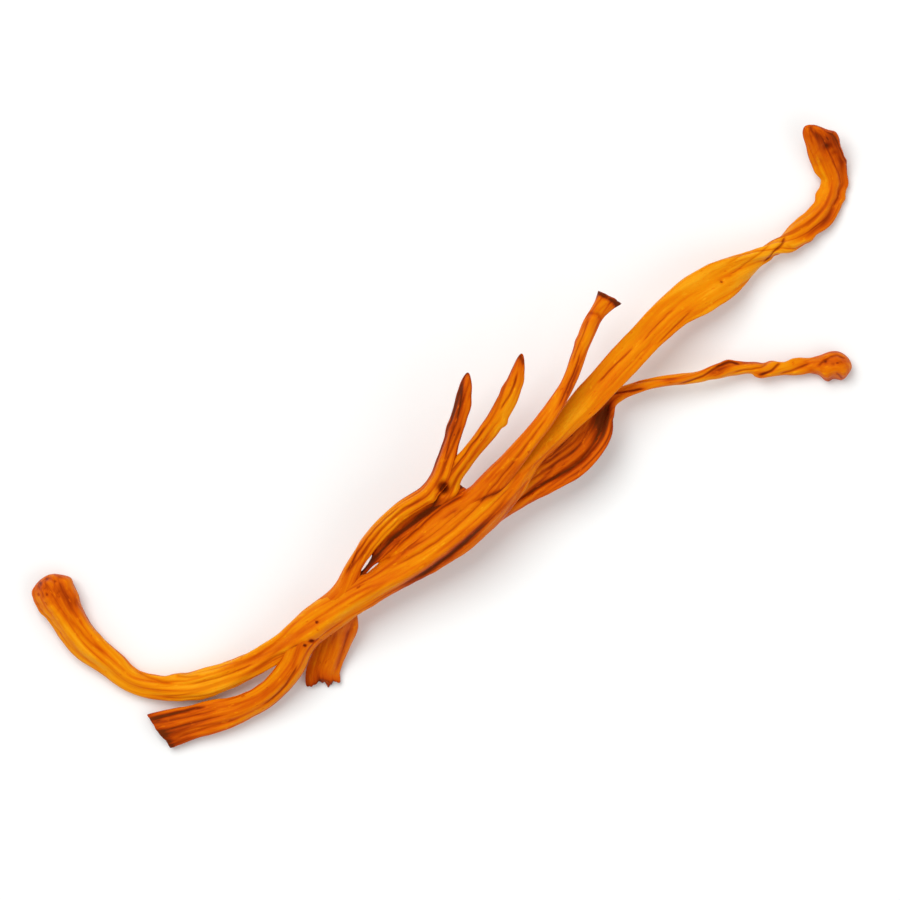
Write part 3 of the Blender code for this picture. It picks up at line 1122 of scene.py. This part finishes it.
    pits: Pits = (
        Pit(0.35, 0.5, 0.20, 0.12, 0.7), Pit(0.25, 0.0, 0.15, 0.10, 0.6),
        Pit(0.65, -0.4, 0.16, 0.10, 0.6), Pit(1.2, 0.45, 0.15, 0.10, 0.6),
        Pit(0.95, 1.0, 0.16, 0.10, 0.7), Pit(1.7, -0.2, 0.12, 0.06, 0.5),
        Pit(2.5, 0.1, 0.10, 0.06, 0.5), Pit(24.0, 0.45, 0.10, 0.06, 0.6),
        Pit(61.35, 0.15, 0.15, 0.12, 0.95), Pit(75.5, 0.25, 0.42, 0.26, 0.55),
        Pit(74.9, 0.5, 0.32, 0.15, 0.40),
    )
    lumps: Lumps = (
        Lump(70.0, 1, 0.15, 0.7), Lump(68.4, 1, 0.10, 0.35), Lump(71.4, -1, 0.14, 0.5),
        Lump(73.0, -1, -0.08, 0.5), Lump(77.0, -1, 0.14, 0.6), Lump(76.1, 1, 0.20, 0.6),
        Lump(65.7, 1, -0.10, 0.25), Lump(66.8, 1, 0.14, 0.5), Lump(74.0, 1, 0.08, 0.3),
        Lump(72.6, 1, 0.13, 0.28), Lump(71.7, 1, 0.09, 0.2), Lump(12.9, -1, 0.12, 0.6),
        Lump(0.9, -1, 0.10, 0.4), Lump(0.5, 1, 0.08, 0.35), Lump(2.0, 1, 0.08, 0.4),
        Lump(2.2, -1, 0.06, 0.35),
    )
    # Painted light: the patch at 5.8 is a highlight on the round tip's lit side; those at 33.8,
    # 38.0 and 45.0 are shade.
    blushes_and_painted_light: BlushesAndPaintedLight = (
        BlushAndPaintedLight(5.8, 0.75, 2.6, 0.35, 0.28), BlushAndPaintedLight(2.6, -0.2, 1.3, 0.5, -0.16),
        BlushAndPaintedLight(14.5, 0.3, 3.0, 0.3, 0.12), BlushAndPaintedLight(14.2, -0.75, 1.4, 0.22, 0.14),
        BlushAndPaintedLight(33.8, 1.0, 3.4, 0.26, -0.34), BlushAndPaintedLight(38.0, 0.75, 2.6, 0.22, -0.30),
        BlushAndPaintedLight(32.0, 0.2, 3.0, 0.25, 0.10), BlushAndPaintedLight(47.5, 0.0, 2.6, 0.6, 0.06),
        BlushAndPaintedLight(59.6, -0.9, 2.4, 0.45, 0.14), BlushAndPaintedLight(58.0, 0.9, 3.6, 0.35, -0.08),
        BlushAndPaintedLight(69.5, 0.75, 2.4, 0.35, -0.30), BlushAndPaintedLight(73.8, 0.8, 1.8, 0.4, -0.34),
        BlushAndPaintedLight(0.4, 0.6, 0.4, 0.35, -0.26), BlushAndPaintedLight(0.3, -0.1, 0.3, 0.3, -0.18),
        BlushAndPaintedLight(1.25, 0.55, 0.3, 0.3, -0.18), BlushAndPaintedLight(76.2, 0.5, 0.7, 0.45, -0.20),
        BlushAndPaintedLight(73.0, -0.5, 3.0, 0.45, 0.12), BlushAndPaintedLight(35.0, -0.2, 5.0, 0.4, 0.16),
        BlushAndPaintedLight(29.0, 0.0, 4.0, 0.6, 0.10), BlushAndPaintedLight(45.0, -0.6, 2.6, 0.4, -0.16),
        BlushAndPaintedLight(22.4, 0.6, 0.6, 0.3, -0.16), BlushAndPaintedLight(25.0, 0.85, 0.9, 0.3, -0.18),
    )


@dataclass
class CutShoot(Strand):
    """The slim shoot along the trunk's upper side, with its flared, cut end."""

    name: str = "cut_shoot_skin"
    stands_for: tuple[str, ...] = ("cut_shoot",)
    last: Tip = Tip.CUT
    sides: int = 12
    pleats: int = 3
    seed: float = 2.0
    ring_step: float = 0.34
    wrinkle: float = 0.07
    lead: int = 3
    slant: float = 0.20
    tear: float = 0.10
    stations: Stations = (
        Station(-6.2, -11.1, 3.45, 0.8, 0.8),
        Station(-4.1, -9.4, 3.90, 1.0, 0.9),
        Station(-2.1, -7.7, 4.40, 1.2, 1.0),
        Station(0.0, -5.95, 4.85, 1.4, 1.0),
        Station(1.9, -4.8, 5.25, 1.6, 1.1, 0),
        Station(3.8, -2.9, 5.75, 1.7, 1.1, 6),
        Station(5.6, -0.9, 6.20, 1.4, 1.0, 10),
        Station(7.1, 1.0, 6.55, 1.25, 0.9, 20),
        Station(8.4, 3.2, 6.75, 1.15, 0.8, 30),
        Station(9.3, 5.6, 7.00, 1.1, 0.8, 20),
        Station(9.95, 7.2, 7.20, 1.15, 0.8, 8),
        Station(10.38, 7.95, 7.28, 1.12, 0.85, 4),
        Station(10.82, 8.56, 7.34, 1.45, 0.95, 0),
        Station(11.25, 9.10, 7.40, 2.0, 1.1, 0),
    )
    tones: Pairs = (
        (-6, 0.60), (0, 0.54), (8, 0.56), (10, 0.60), (12.5, 0.48), (14.5, 0.62), (16.4, 0.74),
        (17.3, 0.54), (18.9, 0.48), (19.2, 0.30), (19.45, 0.10),
    )
    creases: Creases = (
        Crease(((0.6, 0.30), (3.0, 0.35), (6.0, 0.20), (8.5, 0.0), (11.0, -0.05)),
               0.11, 0.10, 0.55),
        Crease(((3.0, -0.35), (5.0, -0.30), (8.0, -0.35), (11.0, -0.3)), 0.09, 0.06, 0.35),
        Crease(((10.5, 0.2), (13.0, 0.1), (15.7, 0.05)), 0.08, 0.07, 0.6),
        Crease(((13.8, -0.25), (16.0, -0.2), (17.6, -0.3)), 0.08, 0.06, 0.6),
        Crease(((17.0, -0.85), (17.7, -0.4), (17.9, 0.1), (17.5, 0.75)), 0.15, 0.14, 0.44),
        Crease(((19.0, -1.8), (19.2, -0.5), (19.25, 0.3), (19.0, 1.8)), 0.17, -0.13, 0.68),
        Crease(((-5.0, -0.35), (-2.0, -0.45), (0.5, -0.5), (2.5, -0.6)), 0.10, 0.10, 0.6),
        Crease(((-4.5, 0.3), (-2.0, 0.25), (1.0, 0.35)), 0.09, 0.08, 0.45),
    )
    lumps: Lumps = (Lump(15.6, -1, 0.06, 0.3),)
    blushes_and_painted_light: BlushesAndPaintedLight = (
        BlushAndPaintedLight(19.3, 0.05, 0.3, 0.30, 0.18), BlushAndPaintedLight(18.5, 0.1, 0.5, 0.4, 0.14),
        BlushAndPaintedLight(19.2, 0.95, 0.4, 0.25, -0.20), BlushAndPaintedLight(17.9, 0.45, 0.5, 0.3, 0.12),
    )
    wrinkled: Pairs = ((-8, 0.6), (0, 0.4), (9, 0.5), (12, 0.9), (20, 0.7))


@dataclass
class KnobbyShoot(Strand):
    """The folded lobe under the blade, which goes on as a thin knobby shoot."""

    name: str = "knobby_shoot_skin"
    stands_for: tuple[str, ...] = ("knobby_shoot",)
    sides: int = 16
    pleats: int = 3
    seed: float = 3.0
    ring_step: float = 0.36
    wrinkle: float = 0.08
    stations: Stations = (
        Station(2.3, -6.4, 4.20, 1.2, 1.3),
        Station(4.4, -5.1, 4.00, 1.5, 1.3, -14, 0.1),
        Station(6.2, -3.7, 3.75, 2.2, 1.1, -14, 0.3),
        Station(7.8, -2.6, 3.55, 2.6, 0.9, -12, 0.6),
        Station(9.2, -1.5, 3.40, 2.8, 0.9, -10, 0.7),
        Station(10.2, -0.2, 3.25, 2.6, 0.9, -6, 0.6),
        Station(10.8, 1.1, 3.10, 1.9, 0.9, 0, 0.3),
        Station(11.7, 2.2, 2.90, 1.0, 0.8, 20, 0.1),
        Station(14.3, 3.15, 2.50, 0.85, 0.75, 60),
        Station(17.2, 3.6, 2.00, 0.9, 0.75, 100),
        Station(19.2, 4.15, 1.70, 1.15, 0.8, 140),
        Station(21.2, 4.3, 1.35, 0.85, 0.75, 190),
        Station(22.2, 4.15, 1.20, 1.15, 0.9, 220),
        Station(24.1, 4.35, 0.85, 1.0, 0.9, 260),
        Station(25.5, 4.4, 0.65, 1.3, 1.1, 290),
        Station(27.1, 4.4, 0.85, 2.1, 1.8, 300),
        Station(28.3, 4.35, 0.80, 1.6, 1.5, 300),
    )
    # Painted shade: the low tones from 7 to 10 and the deep patch at 11.3 are shade under the
    # blade.
    tones: Pairs = (
        (0, 0.48), (3, 0.62), (7, 0.36), (10, 0.34), (12.6, 0.44), (14, 0.68), (16, 0.80),
        (19, 0.90), (22, 0.70), (25, 0.76), (27, 0.68), (28.3, 0.58), (30, 0.56),
    )
    creases: Creases = (
        Crease(((0.6, -0.1), (3.5, 0.25), (5.0, 0.40), (7.5, 0.55), (9.5, 0.55)), 0.13, 0.22, 0.62),
        Crease(((7.4, 0.52), (9.0, 0.50), (10.4, 0.42), (11.6, 0.25), (12.9, 0.0)),
               0.15, 0.24, 0.55),
        Crease(((1.5, -0.4), (4.0, -0.35), (7.0, -0.3), (9.5, -0.2)), 0.11, 0.10, 0.6),
        Crease(((5.0, -0.75), (8.0, -0.7), (10.2, -0.6)), 0.10, 0.08, 0.4),
        Crease(((12.8, -0.35), (14.0, 0.0), (15.4, 0.25)), 0.10, 0.10, 0.7),
        Crease(((14.4, -0.4), (16.0, -0.2), (18.2, -0.1)), 0.09, 0.08, 0.5),
        Crease(((17.4, 0.3), (19.5, 0.05), (21.3, -0.4)), 0.10, 0.12, 0.7),
        Crease(((20.3, -0.25), (21.5, -0.4), (22.3, -0.25)), 0.12, 0.12, 0.9),
        Crease(((21.4, 0.35), (23.0, 0.1), (24.4, -0.45)), 0.09, 0.10, 0.6),
        Crease(((23.5, 0.4), (24.4, 0.1), (25.2, -0.35)), 0.10, 0.12, 0.8),
        Crease(((24.8, 0.45), (26.0, 0.15), (27.3, -0.2)), 0.09, 0.09, 0.6),
        Crease(((27.7, 0.1), (28.3, -0.35), (29.1, -0.65), (29.8, -0.45)), 0.12, 0.12, 0.55),
        Crease(((29.0, 0.45), (29.35, 0.60), (29.7, 0.85)), 0.10, 0.10, 0.55),
    )
    pits: Pits = (Pit(28.4, -0.3, 0.20, 0.10, 0.65), Pit(28.9, -0.1, 0.14, 0.06, 0.45))
    lumps: Lumps = (
        Lump(28.4, 1, 0.28, 0.36), Lump(29.65, 1, 0.16, 0.36), Lump(28.9, -1, 0.10, 0.7),
        Lump(26.3, 1, 0.14, 0.8), Lump(26.2, -1, 0.14, 0.7), Lump(24.6, -1, 0.14, 0.45),
        Lump(21.4, -1, 0.10, 0.4), Lump(23.6, 1, 0.10, 0.4), Lump(20.6, 1, 0.10, 0.6),
        Lump(25.6, -1, -0.06, 0.3),
    )
    wrinkled: Pairs = ((0, 0.75), (11, 0.75), (13, 0.9), (26, 0.8), (27.5, 0.35), (31, 0.35))
    puckered: Pairs = ((0, 0.0), (26.5, 0.0), (27.8, 0.5), (31, 0.5))
    blushes_and_painted_light: BlushesAndPaintedLight = (
        BlushAndPaintedLight(14.6, 0.0, 0.8, 0.4, -0.20), BlushAndPaintedLight(17.2, 0.0, 0.5, 0.3, -0.18),
        BlushAndPaintedLight(20.6, 0.15, 0.8, 0.3, -0.25), BlushAndPaintedLight(21.8, -0.1, 0.5, 0.3, 0.12),
        BlushAndPaintedLight(23.7, 0.3, 0.4, 0.3, -0.30), BlushAndPaintedLight(25.3, -0.1, 0.5, 0.3, 0.10),
        BlushAndPaintedLight(27.0, 0.2, 0.6, 0.4, -0.15), BlushAndPaintedLight(6.0, -0.4, 3.4, 0.5, 0.14),
        BlushAndPaintedLight(11.3, 0.0, 1.2, 0.5, -0.42), BlushAndPaintedLight(7.0, 0.95, 3.6, 0.25, 0.20),
        BlushAndPaintedLight(28.4, 1.15, 0.5, 0.4, -0.5),
    )


@dataclass
class ForkedShoot(Strand):
    """The shoot on the trunk that forks: its stem and its left prong."""

    name: str = "left_prong_skin"
    stands_for: tuple[str, ...] = ("left_prong",)
    last: Tip = Tip.TAPER
    sides: int = 12
    pleats: int = 4
    seed: float = 4.0
    ring_step: float = 0.34
    wrinkle: float = 0.07
    lead: int = 1
    stations: Stations = (
        Station(-9.9, -13.4, 2.65, 0.9, 0.9),
        Station(-7.6, -11.6, 3.40, 1.2, 1.1),
        Station(-6.3, -9.4, 4.00, 1.25, 1.1, 14),
        Station(-5.1, -7.6, 4.55, 1.3, 1.1, 20),
        Station(-3.3, -5.8, 5.00, 1.3, 1.1, 16),
        Station(-1.5, -4.6, 5.35, 1.35, 1.1, 14),
        Station(-0.6, -3.5, 5.60, 1.3, 1.0, 20),
        Station(-0.1, -2.2, 5.85, 1.2, 1.0, 24),
        Station(0.35, -0.8, 6.15, 1.2, 0.9, 26),
        Station(0.85, 0.7, 6.55, 1.2, 0.9, 16),
        Station(1.2, 2.2, 6.90, 1.1, 0.8, 10),
        Station(1.5, 3.9, 7.20, 0.8, 0.7, 0),
    )
    # Painted shade: the low tones from 16 on are shade where the left prong runs under the strands
    # above it.
    tones: Pairs = (
        (-3, 0.54), (0, 0.50), (3, 0.72), (7, 0.84), (9.5, 0.60), (11, 0.60), (14, 0.54),
        (16, 0.36), (18.9, 0.30),
    )
    creases: Creases = (
        Crease(((2.4, 0.15), (5.0, 0.08), (8.0, -0.02), (10.0, 0.12)), 0.12, 0.17, 0.62),
        Crease(((1.2, -0.25), (3.5, -0.3), (6.0, -0.33), (8.6, -0.28)), 0.10, 0.10, 0.7),
        Crease(((3.0, 0.42), (5.5, 0.38), (8.0, 0.38)), 0.08, 0.08, 0.5),
        Crease(((10.8, 0.1), (12.5, 0.15), (14.0, 0.25), (15.8, 0.35)), 0.13, 0.14, 0.6),
        Crease(((14.5, -0.2), (16.0, -0.15), (17.6, 0.0)), 0.10, 0.08, 0.4),
    )
    lumps: Lumps = (
        Lump(9.9, 1, 0.10, 0.28), Lump(14.8, -1, 0.07, 0.5), Lump(16.6, 1, 0.08, 0.5),
    )
    blushes_and_painted_light: BlushesAndPaintedLight = (BlushAndPaintedLight(9.9, 0.55, 0.35, 0.22, 0.26), BlushAndPaintedLight(5.0, 0.55, 3.0, 0.2, 0.12))


@dataclass
class RightProng(Strand):
    """The right prong of the forked shoot."""

    name: str = "right_prong_skin"
    stands_for: tuple[str, ...] = ("right_prong",)
    last: Tip = Tip.TAPER
    sides: int = 12
    pleats: int = 3
    seed: float = 5.0
    ring_step: float = 0.34
    wrinkle: float = 0.06
    stations: Stations = (
        Station(-0.9, -5.7, 4.30, 0.9, 0.8),
        Station(0.05, -4.45, 4.85, 1.0, 0.9, 0),
        Station(0.6, -3.2, 5.62, 1.15, 0.9, -14),
        Station(1.6, -1.8, 6.20, 1.2, 0.9, -20),
        Station(2.95, 0.0, 6.85, 1.4, 0.9, -14),
        Station(3.9, 1.5, 7.30, 1.4, 0.8, -6),
        Station(4.65, 3.1, 7.70, 1.2, 0.8, 0),
        Station(5.2, 5.2, 8.00, 0.8, 0.7, 10),
    )
    tones: Pairs = ((0, 0.56), (1.4, 0.74), (2.5, 0.80), (7, 0.74), (10, 0.80), (13.2, 0.54))
    creases: Creases = (
        Crease(((2.2, -0.25), (5.0, -0.3), (8.2, -0.3)), 0.09, 0.09, 0.75),
        Crease(((3.0, 0.25), (6.0, 0.15), (9.2, 0.2)), 0.08, 0.06, 0.4),
        Crease(((8.8, -0.1), (10.4, 0.05), (12.0, 0.0)), 0.10, 0.10, 0.7),
        Crease(((1.3, -0.35), (2.6, -0.4), (4.4, -0.45)), 0.10, 0.12, 0.8),
    )
    lumps: Lumps = (
        Lump(8.3, 1, 0.16, 0.3), Lump(10.6, -1, 0.08, 0.5), Lump(11.4, 1, 0.07, 0.4),
    )


@dataclass
class ValleyWeb(Strand):
    """The thin skin between the forked shoot and the trunk, in dark reds that are painted deep
    shade.
    """

    name: str = "valley_web"
    sides: int = 12
    pleats: int = 3
    seed: float = 6.0
    ring_step: float = 0.34
    wrinkle: float = 0.07
    skin: Skin = Skin.RED
    lead: int = 2
    stations: Stations = (
        Station(-6.7, -10.9, 3.35, 0.45, 0.4),
        Station(-5.75, -9.95, 3.60, 0.36, 0.36),
        Station(-5.1, -9.2, 3.78, 0.5, 0.45),
        Station(-3.7, -7.7, 4.05, 1.9, 0.6, 6, 0.2),
        Station(-1.9, -6.3, 4.40, 2.5, 0.6, 4, 0.3),
        Station(-0.2, -5.1, 4.75, 2.3, 0.6, 0, 0.2),
        Station(1.3, -4.2, 4.95, 1.3, 0.6),
    )
    # Painted deep shade: the web's low tones stand for the shade in the valley.
    tones: Pairs = ((-2, 0.20), (0.5, 0.28), (4, 0.24), (8, 0.28))
    creases: Creases = (
        Crease(((1.0, -0.2), (3.0, -0.15), (5.0, -0.2), (7.0, -0.1)), 0.14, 0.12, 0.5),
        Crease(((1.6, 0.35), (3.6, 0.4), (5.6, 0.35)), 0.08, 0.08, 0.5),
    )
    blushes_and_painted_light: BlushesAndPaintedLight = (
        BlushAndPaintedLight(3.2, -0.7, 2.6, 0.5, 0.10), BlushAndPaintedLight(3.4, 0.9, 2.6, 0.45, 0.34),
        BlushAndPaintedLight(7.0, 0.6, 1.6, 0.6, 0.3),
    )


@dataclass
class LowerBranch(Strand):
    """The short branch beside the round-tipped one, with its dark cut end."""

    name: str = "lower_branch_skin"
    stands_for: tuple[str, ...] = ("lower_branch",)
    last: Tip = Tip.CUT
    sides: int = 14
    pleats: int = 4
    seed: float = 7.0
    ring_step: float = 0.36
    wrinkle: float = 0.09
    skin: Skin = Skin.RED
    slant: float = 0.38
    tear: float = 0.10
    wrinkled: Pairs = ((-3, 0.8), (8, 0.8), (12, 0.5), (15, 0.5))
    lead: int = 1
    stations: Stations = (
        Station(-6.9, -12.2, 3.15, 1.2, 1.1),
        Station(-8.7, -13.5, 2.95, 1.5, 1.3),
        Station(-9.85, -14.8, 2.90, 1.6, 1.2),
        Station(-10.8, -16.7, 2.50, 1.7, 1.2, 6),
        Station(-12.4, -18.4, 1.75, 1.75, 1.2, 10),
        Station(-14.4, -19.5, 1.25, 1.9, 1.2, 6, 0.1),
        Station(-16.3, -20.1, 0.90, 2.2, 1.2, 0, 0.2),
        Station(-18.2, -20.6, 0.65, 2.5, 1.2, 0, 0.2),
        Station(-20.1, -21.1, 0.55, 2.6, 1.2, 0, 0.1),
    )
    tones: Pairs = (
        (-3, 0.50), (0, 0.42), (3, 0.68), (7, 0.66), (10, 0.64), (12.5, 0.50), (13.8, 0.38),
        (14.6, 0.12), (15, 0.0),
    )
    creases: Creases = (
        Crease(((3.0, -0.2), (5.0, -0.4), (7.4, -0.45)), 0.11, 0.11, 0.7),
        Crease(((4.8, 0.35), (8.0, 0.3), (10.2, 0.35)), 0.09, 0.07, 0.4),
        Crease(((8.6, -0.55), (11.0, -0.6), (13.8, -0.75)), 0.11, 0.12, 0.45),
        Crease(((9.2, -0.05), (12.0, 0.0), (14.4, -0.05)), 0.12, 0.14, 0.5),
        Crease(((9.8, 0.4), (12.0, 0.5), (14.5, 0.55)), 0.11, 0.12, 0.5),
        Crease(((10.6, 0.85), (13.0, 0.95), (14.8, 1.0)), 0.14, 0.10, 0.75),
    )


@dataclass
class RaggedStub(Strand):
    """The torn flap under the trunk."""

    name: str = "ragged_stub_skin"
    stands_for: tuple[str, ...] = ("ragged_stub",)
    last: Tip = Tip.TORN
    sides: int = 16
    pleats: int = 4
    seed: float = 8.0
    ring_step: float = 0.36
    wrinkle: float = 0.08
    skin: Skin = Skin.RED
    tear: float = 0.55
    stations: Stations = (
        Station(-6.9, -12.3, 2.80, 2.2, 1.2),
        Station(-7.5, -13.6, 2.25, 2.8, 1.0),
        Station(-7.9, -14.9, 1.45, 2.5, 0.8, 0, -0.1),
        Station(-8.3, -16.0, 0.90, 2.3, 0.8, 0, -0.2),
        Station(-8.6, -16.9, 0.60, 2.3, 0.8, 0, -0.1),
        Station(-8.6, -17.8, 0.38, 2.4, 0.8, 0, 0.1),
    )
    tones: Pairs = ((0, 0.42), (3, 0.56), (5, 0.56), (6.0, 0.36), (6.4, 0.08))
    wrinkled: Pairs = ((0, 0.3), (7, 0.3))
    creases: Creases = (
        Crease(((1.0, -0.85), (3.0, -0.8), (5.4, -0.9)), 0.16, 0.10, 0.45),
        Crease(((1.5, 0.0), (3.5, 0.2), (5.6, 0.1)), 0.12, 0.07, 0.3),
        Crease(((2.4, 0.65), (4.0, 0.6), (5.6, 0.5)), 0.10, 0.06, 0.3),
    )


@dataclass(frozen=True)
class Merge:
    """A ball in which two strands grew into one, with no painted shade in the crease between them.
    """

    place: Triple
    radius: float


@dataclass(frozen=True)
class Hole:
    """A hollow between strands, seen from above at an x and a y, darkened with painted shade."""

    place: Pair
    radius: float
    depth: float


@dataclass
class GrownTogether:
    """Joins the strands where they grew against each other.

    Each skin swells a little towards its neighbour, and takes painted shade, a deeper red, in the
    crease between them, except where they grew into one. In a gap it doesn't swell.
    """

    fillet: float = 0.8
    swelling: float = 0.25
    reach: float = 0.30
    sharpness: float = 1.6
    strength: float = 0.85
    merged_core: float = 0.6
    hole_squareness: float = 3.0
    hole_edge: float = 2.0
    hole_grip: float = 3.0
    merges: tuple[Merge, ...] = (
        Merge((-7.6, -11.9, 4.0), 2.4),
        Merge((-9.3, -13.9, 3.4), 1.5),
        Merge((-4.6, -10.3, 4.3), 1.5),
        Merge((-2.6, -8.9, 4.8), 1.3),
        Merge((-0.6, -7.2, 5.3), 1.2),
        Merge((1.6, -5.6, 5.6), 1.0),
        Merge((-2.7, -6.6, 4.5), 1.7),
    )
    gaps: tuple[Merge, ...] = (Merge((-5.35, -9.45, 3.8), 1.0),)
    holes: tuple[Hole, ...] = (
        Hole((-0.18, -4.02), 0.44, 0.7),
        Hole((-9.40, -14.6), 0.20, 0.30),
        Hole((-8.95, -13.4), 0.13, 0.12),
        Hole((-9.8, -15.0), 0.12, 0.10),
    )

    def join(self, strands: list[Strand]) -> None:
        """Fill and shade the creases between the strands.

        Args:
            strands: The finished strands.
        """
        trees = {}
        for strand in strands:
            mesh = strand.piece.data
            corners = [vertex.co.copy() for vertex in mesh.vertices]
            faces = [tuple(face.vertices) for face in mesh.polygons]
            trees[strand.name] = BVHTree.FromPolygons(corners, faces)
        for strand in strands:
            others = [tree for name, tree in trees.items() if name != strand.name]
            self.join_one(strand.piece.data, others)
            LOG.info("%s: joined to its neighbours", strand.name)

    def join_one(self, mesh: bpy.types.Mesh, others: list[BVHTree]) -> None:
        """Swell one strand towards its neighbours, and paint shade into the creases between them
        and into the holes.

        Args:
            mesh: The strand's mesh.
            others: The neighbours, as they were before any of them swelled.
        """
        stored = mesh.attributes["crease"].data
        crease = np.empty(len(mesh.vertices), dtype=np.float32)
        stored.foreach_get("value", crease)
        reach = self.fillet * MM
        moves = []
        for vertex in mesh.vertices:
            gaps = [tree.find_nearest(vertex.co, reach)[3] for tree in others]
            gap = min((found for found in gaps if found is not None), default=reach) / MM
            swell = (1 - gap / self.fillet) ** 2 * self.fillet * self.swelling
            # A hole sinks the upward skin and darkens it with painted shade.
            share, depth = self.hole_share(vertex.co)
            # Only skin that faces up sinks, so no underside shows through a hollow.
            upward = max(0.0, vertex.normal.z)
            share *= min(1.0, self.hole_grip * upward)
            if swell > 0 or share > 0:
                swell *= self.away_from(vertex.co, self.gaps)
                place = vertex.co + vertex.normal * (swell * MM)
                place.z -= share * (depth * upward) * MM
                moves.append((vertex.index, place))
                # Painted shade: the skin goes a deeper red near a neighbour, in the crease between
                # them, but not where they grew into one.
                near = max(0.0, 1 - gap / self.reach) ** self.sharpness
                near *= self.away_from(vertex.co, self.merges)
                crease[vertex.index] = max(crease[vertex.index], self.strength * near, share)
        for index, place in moves:
            mesh.vertices[index].co = (place.x, place.y, max(place.z, 0.0))
        stored.foreach_set("value", crease)
        mesh.update()

    def hole_share(self, place: Vector) -> Pair:
        """Find how far a place lies in the nearest hole.

        Args:
            place: A place in the frame.

        Returns:
            Its share, 0 outside to 1 in the middle, and the depth of that hole.
        """
        best = (0.0, 0.0)
        for hole in self.holes:
            away = (place.xy / MM + CENTRE.xy - Vector(hole.place)).length / hole.radius
            if away < self.hole_edge:
                best = max(best, (math.exp(-(away**self.hole_squareness)), hole.depth))
        return best

    def away_from(self, place: Vector, merges: tuple[Merge, ...]) -> float:
        """Find how far outside all the given balls a place is.

        Args:
            place: A place in the frame.
            merges: The balls.

        Returns:
            Its share, 0 in the core of any of them to 1 outside them all.
        """
        share = 1.0
        for merge in merges:
            away = (place / MM + CENTRE - Vector(merge.place)).length / merge.radius
            share = min(share, max(0.0, (away - self.merged_core) / (1 - self.merged_core)))
        return share


@dataclass(frozen=True)
class Softbox:
    """One square soft light, with its place and side in metres and its power in watts."""

    name: str
    place: Triple
    side: float
    power: float

    def hang(self) -> None:
        """Hang the light so that it faces the cluster."""
        bpy.ops.object.light_add(type="AREA", location=self.place)
        lamp = bpy.context.object
        lamp.name = self.name
        lamp.data.shape = "SQUARE"
        lamp.data.size = self.side
        lamp.data.energy = self.power
        lamp.rotation_euler = (-Vector(self.place)).to_track_quat("-Z", "Y").to_euler()


@dataclass
class Studio:
    """The pale floor, the soft light and the camera that looks straight down."""

    view_width: float = 0.0629
    look_at: Pair = (0.00055, -0.00088)
    camera_height: float = 0.45
    camera_sensor: float = 36.0
    camera_range: float = 10.0
    floor_size: float = 1.6
    floor_colour: Colour = (0.90, 0.916, 0.908, 1.0)
    floor_roughness: float = 0.9
    floor_specular: float = 0.1
    sky_colour: Colour = (1.0, 0.995, 0.99, 1.0)
    sky_strength: float = 0.55
    lights: tuple[Softbox, ...] = (
        Softbox("key_light", (-0.16, 0.20, 0.50), 0.34, 2.1),
        Softbox("fill_light", (0.34, -0.20, 0.40), 0.45, 0.5),
    )

    def set_up(self) -> None:
        """Make everything that isn't part of the object."""
        self.floor()
        self.sky()
        for light in self.lights:
            light.hang()
        self.camera()
        view = bpy.context.scene.view_settings
        view.view_transform = "Standard"
        view.look = "None"
        view.exposure = 0.0
        LOG.info("studio: floor, sky, two soft lights and the camera")

    def floor(self) -> None:
        """Lay the pale surface under the cluster."""
        bpy.ops.object.select_all(action="DESELECT")
        bpy.ops.mesh.primitive_plane_add(size=self.floor_size)
        floor = bpy.context.object
        floor.name = "pale_floor"
        material = bpy.data.materials.new("pale_floor_finish")
        material.use_nodes = True
        surface = material.node_tree.nodes["Principled BSDF"]
        surface.inputs["Base Color"].default_value = self.floor_colour
        surface.inputs["Roughness"].default_value = self.floor_roughness
        surface.inputs["Specular IOR Level"].default_value = self.floor_specular
        floor.data.materials.append(material)

    def sky(self) -> None:
        """Light everything evenly from all round."""
        world = bpy.data.worlds.new("even_light")
        world.use_nodes = True
        sky = world.node_tree.nodes["Background"]
        sky.inputs["Color"].default_value = self.sky_colour
        sky.inputs["Strength"].default_value = self.sky_strength
        bpy.context.scene.world = world

    def camera(self) -> None:
        """Hang the camera over the middle of the cluster."""
        bpy.ops.object.camera_add(location=(*self.look_at, self.camera_height))
        camera = bpy.context.object
        camera.name = "camera_above"
        camera.data.sensor_width = self.camera_sensor
        camera.data.lens = self.camera_sensor * self.camera_height / self.view_width
        camera.data.clip_end = self.camera_range
        bpy.context.scene.camera = camera


def main() -> None:
    """Build the strands, shade them where they touch, and set up the studio."""
    logging.basicConfig(level=logging.INFO, format="%(message)s")
    strands = [
        MainStrand(),
        CutShoot(),
        KnobbyShoot(),
        ForkedShoot(),
        RightProng(),
        ValleyWeb(),
        LowerBranch(),
        RaggedStub(),
    ]
    for strand in strands:
        strand.build()
    GrownTogether().join(strands)
    Studio().set_up()


if __name__ == "__main__":
    main()
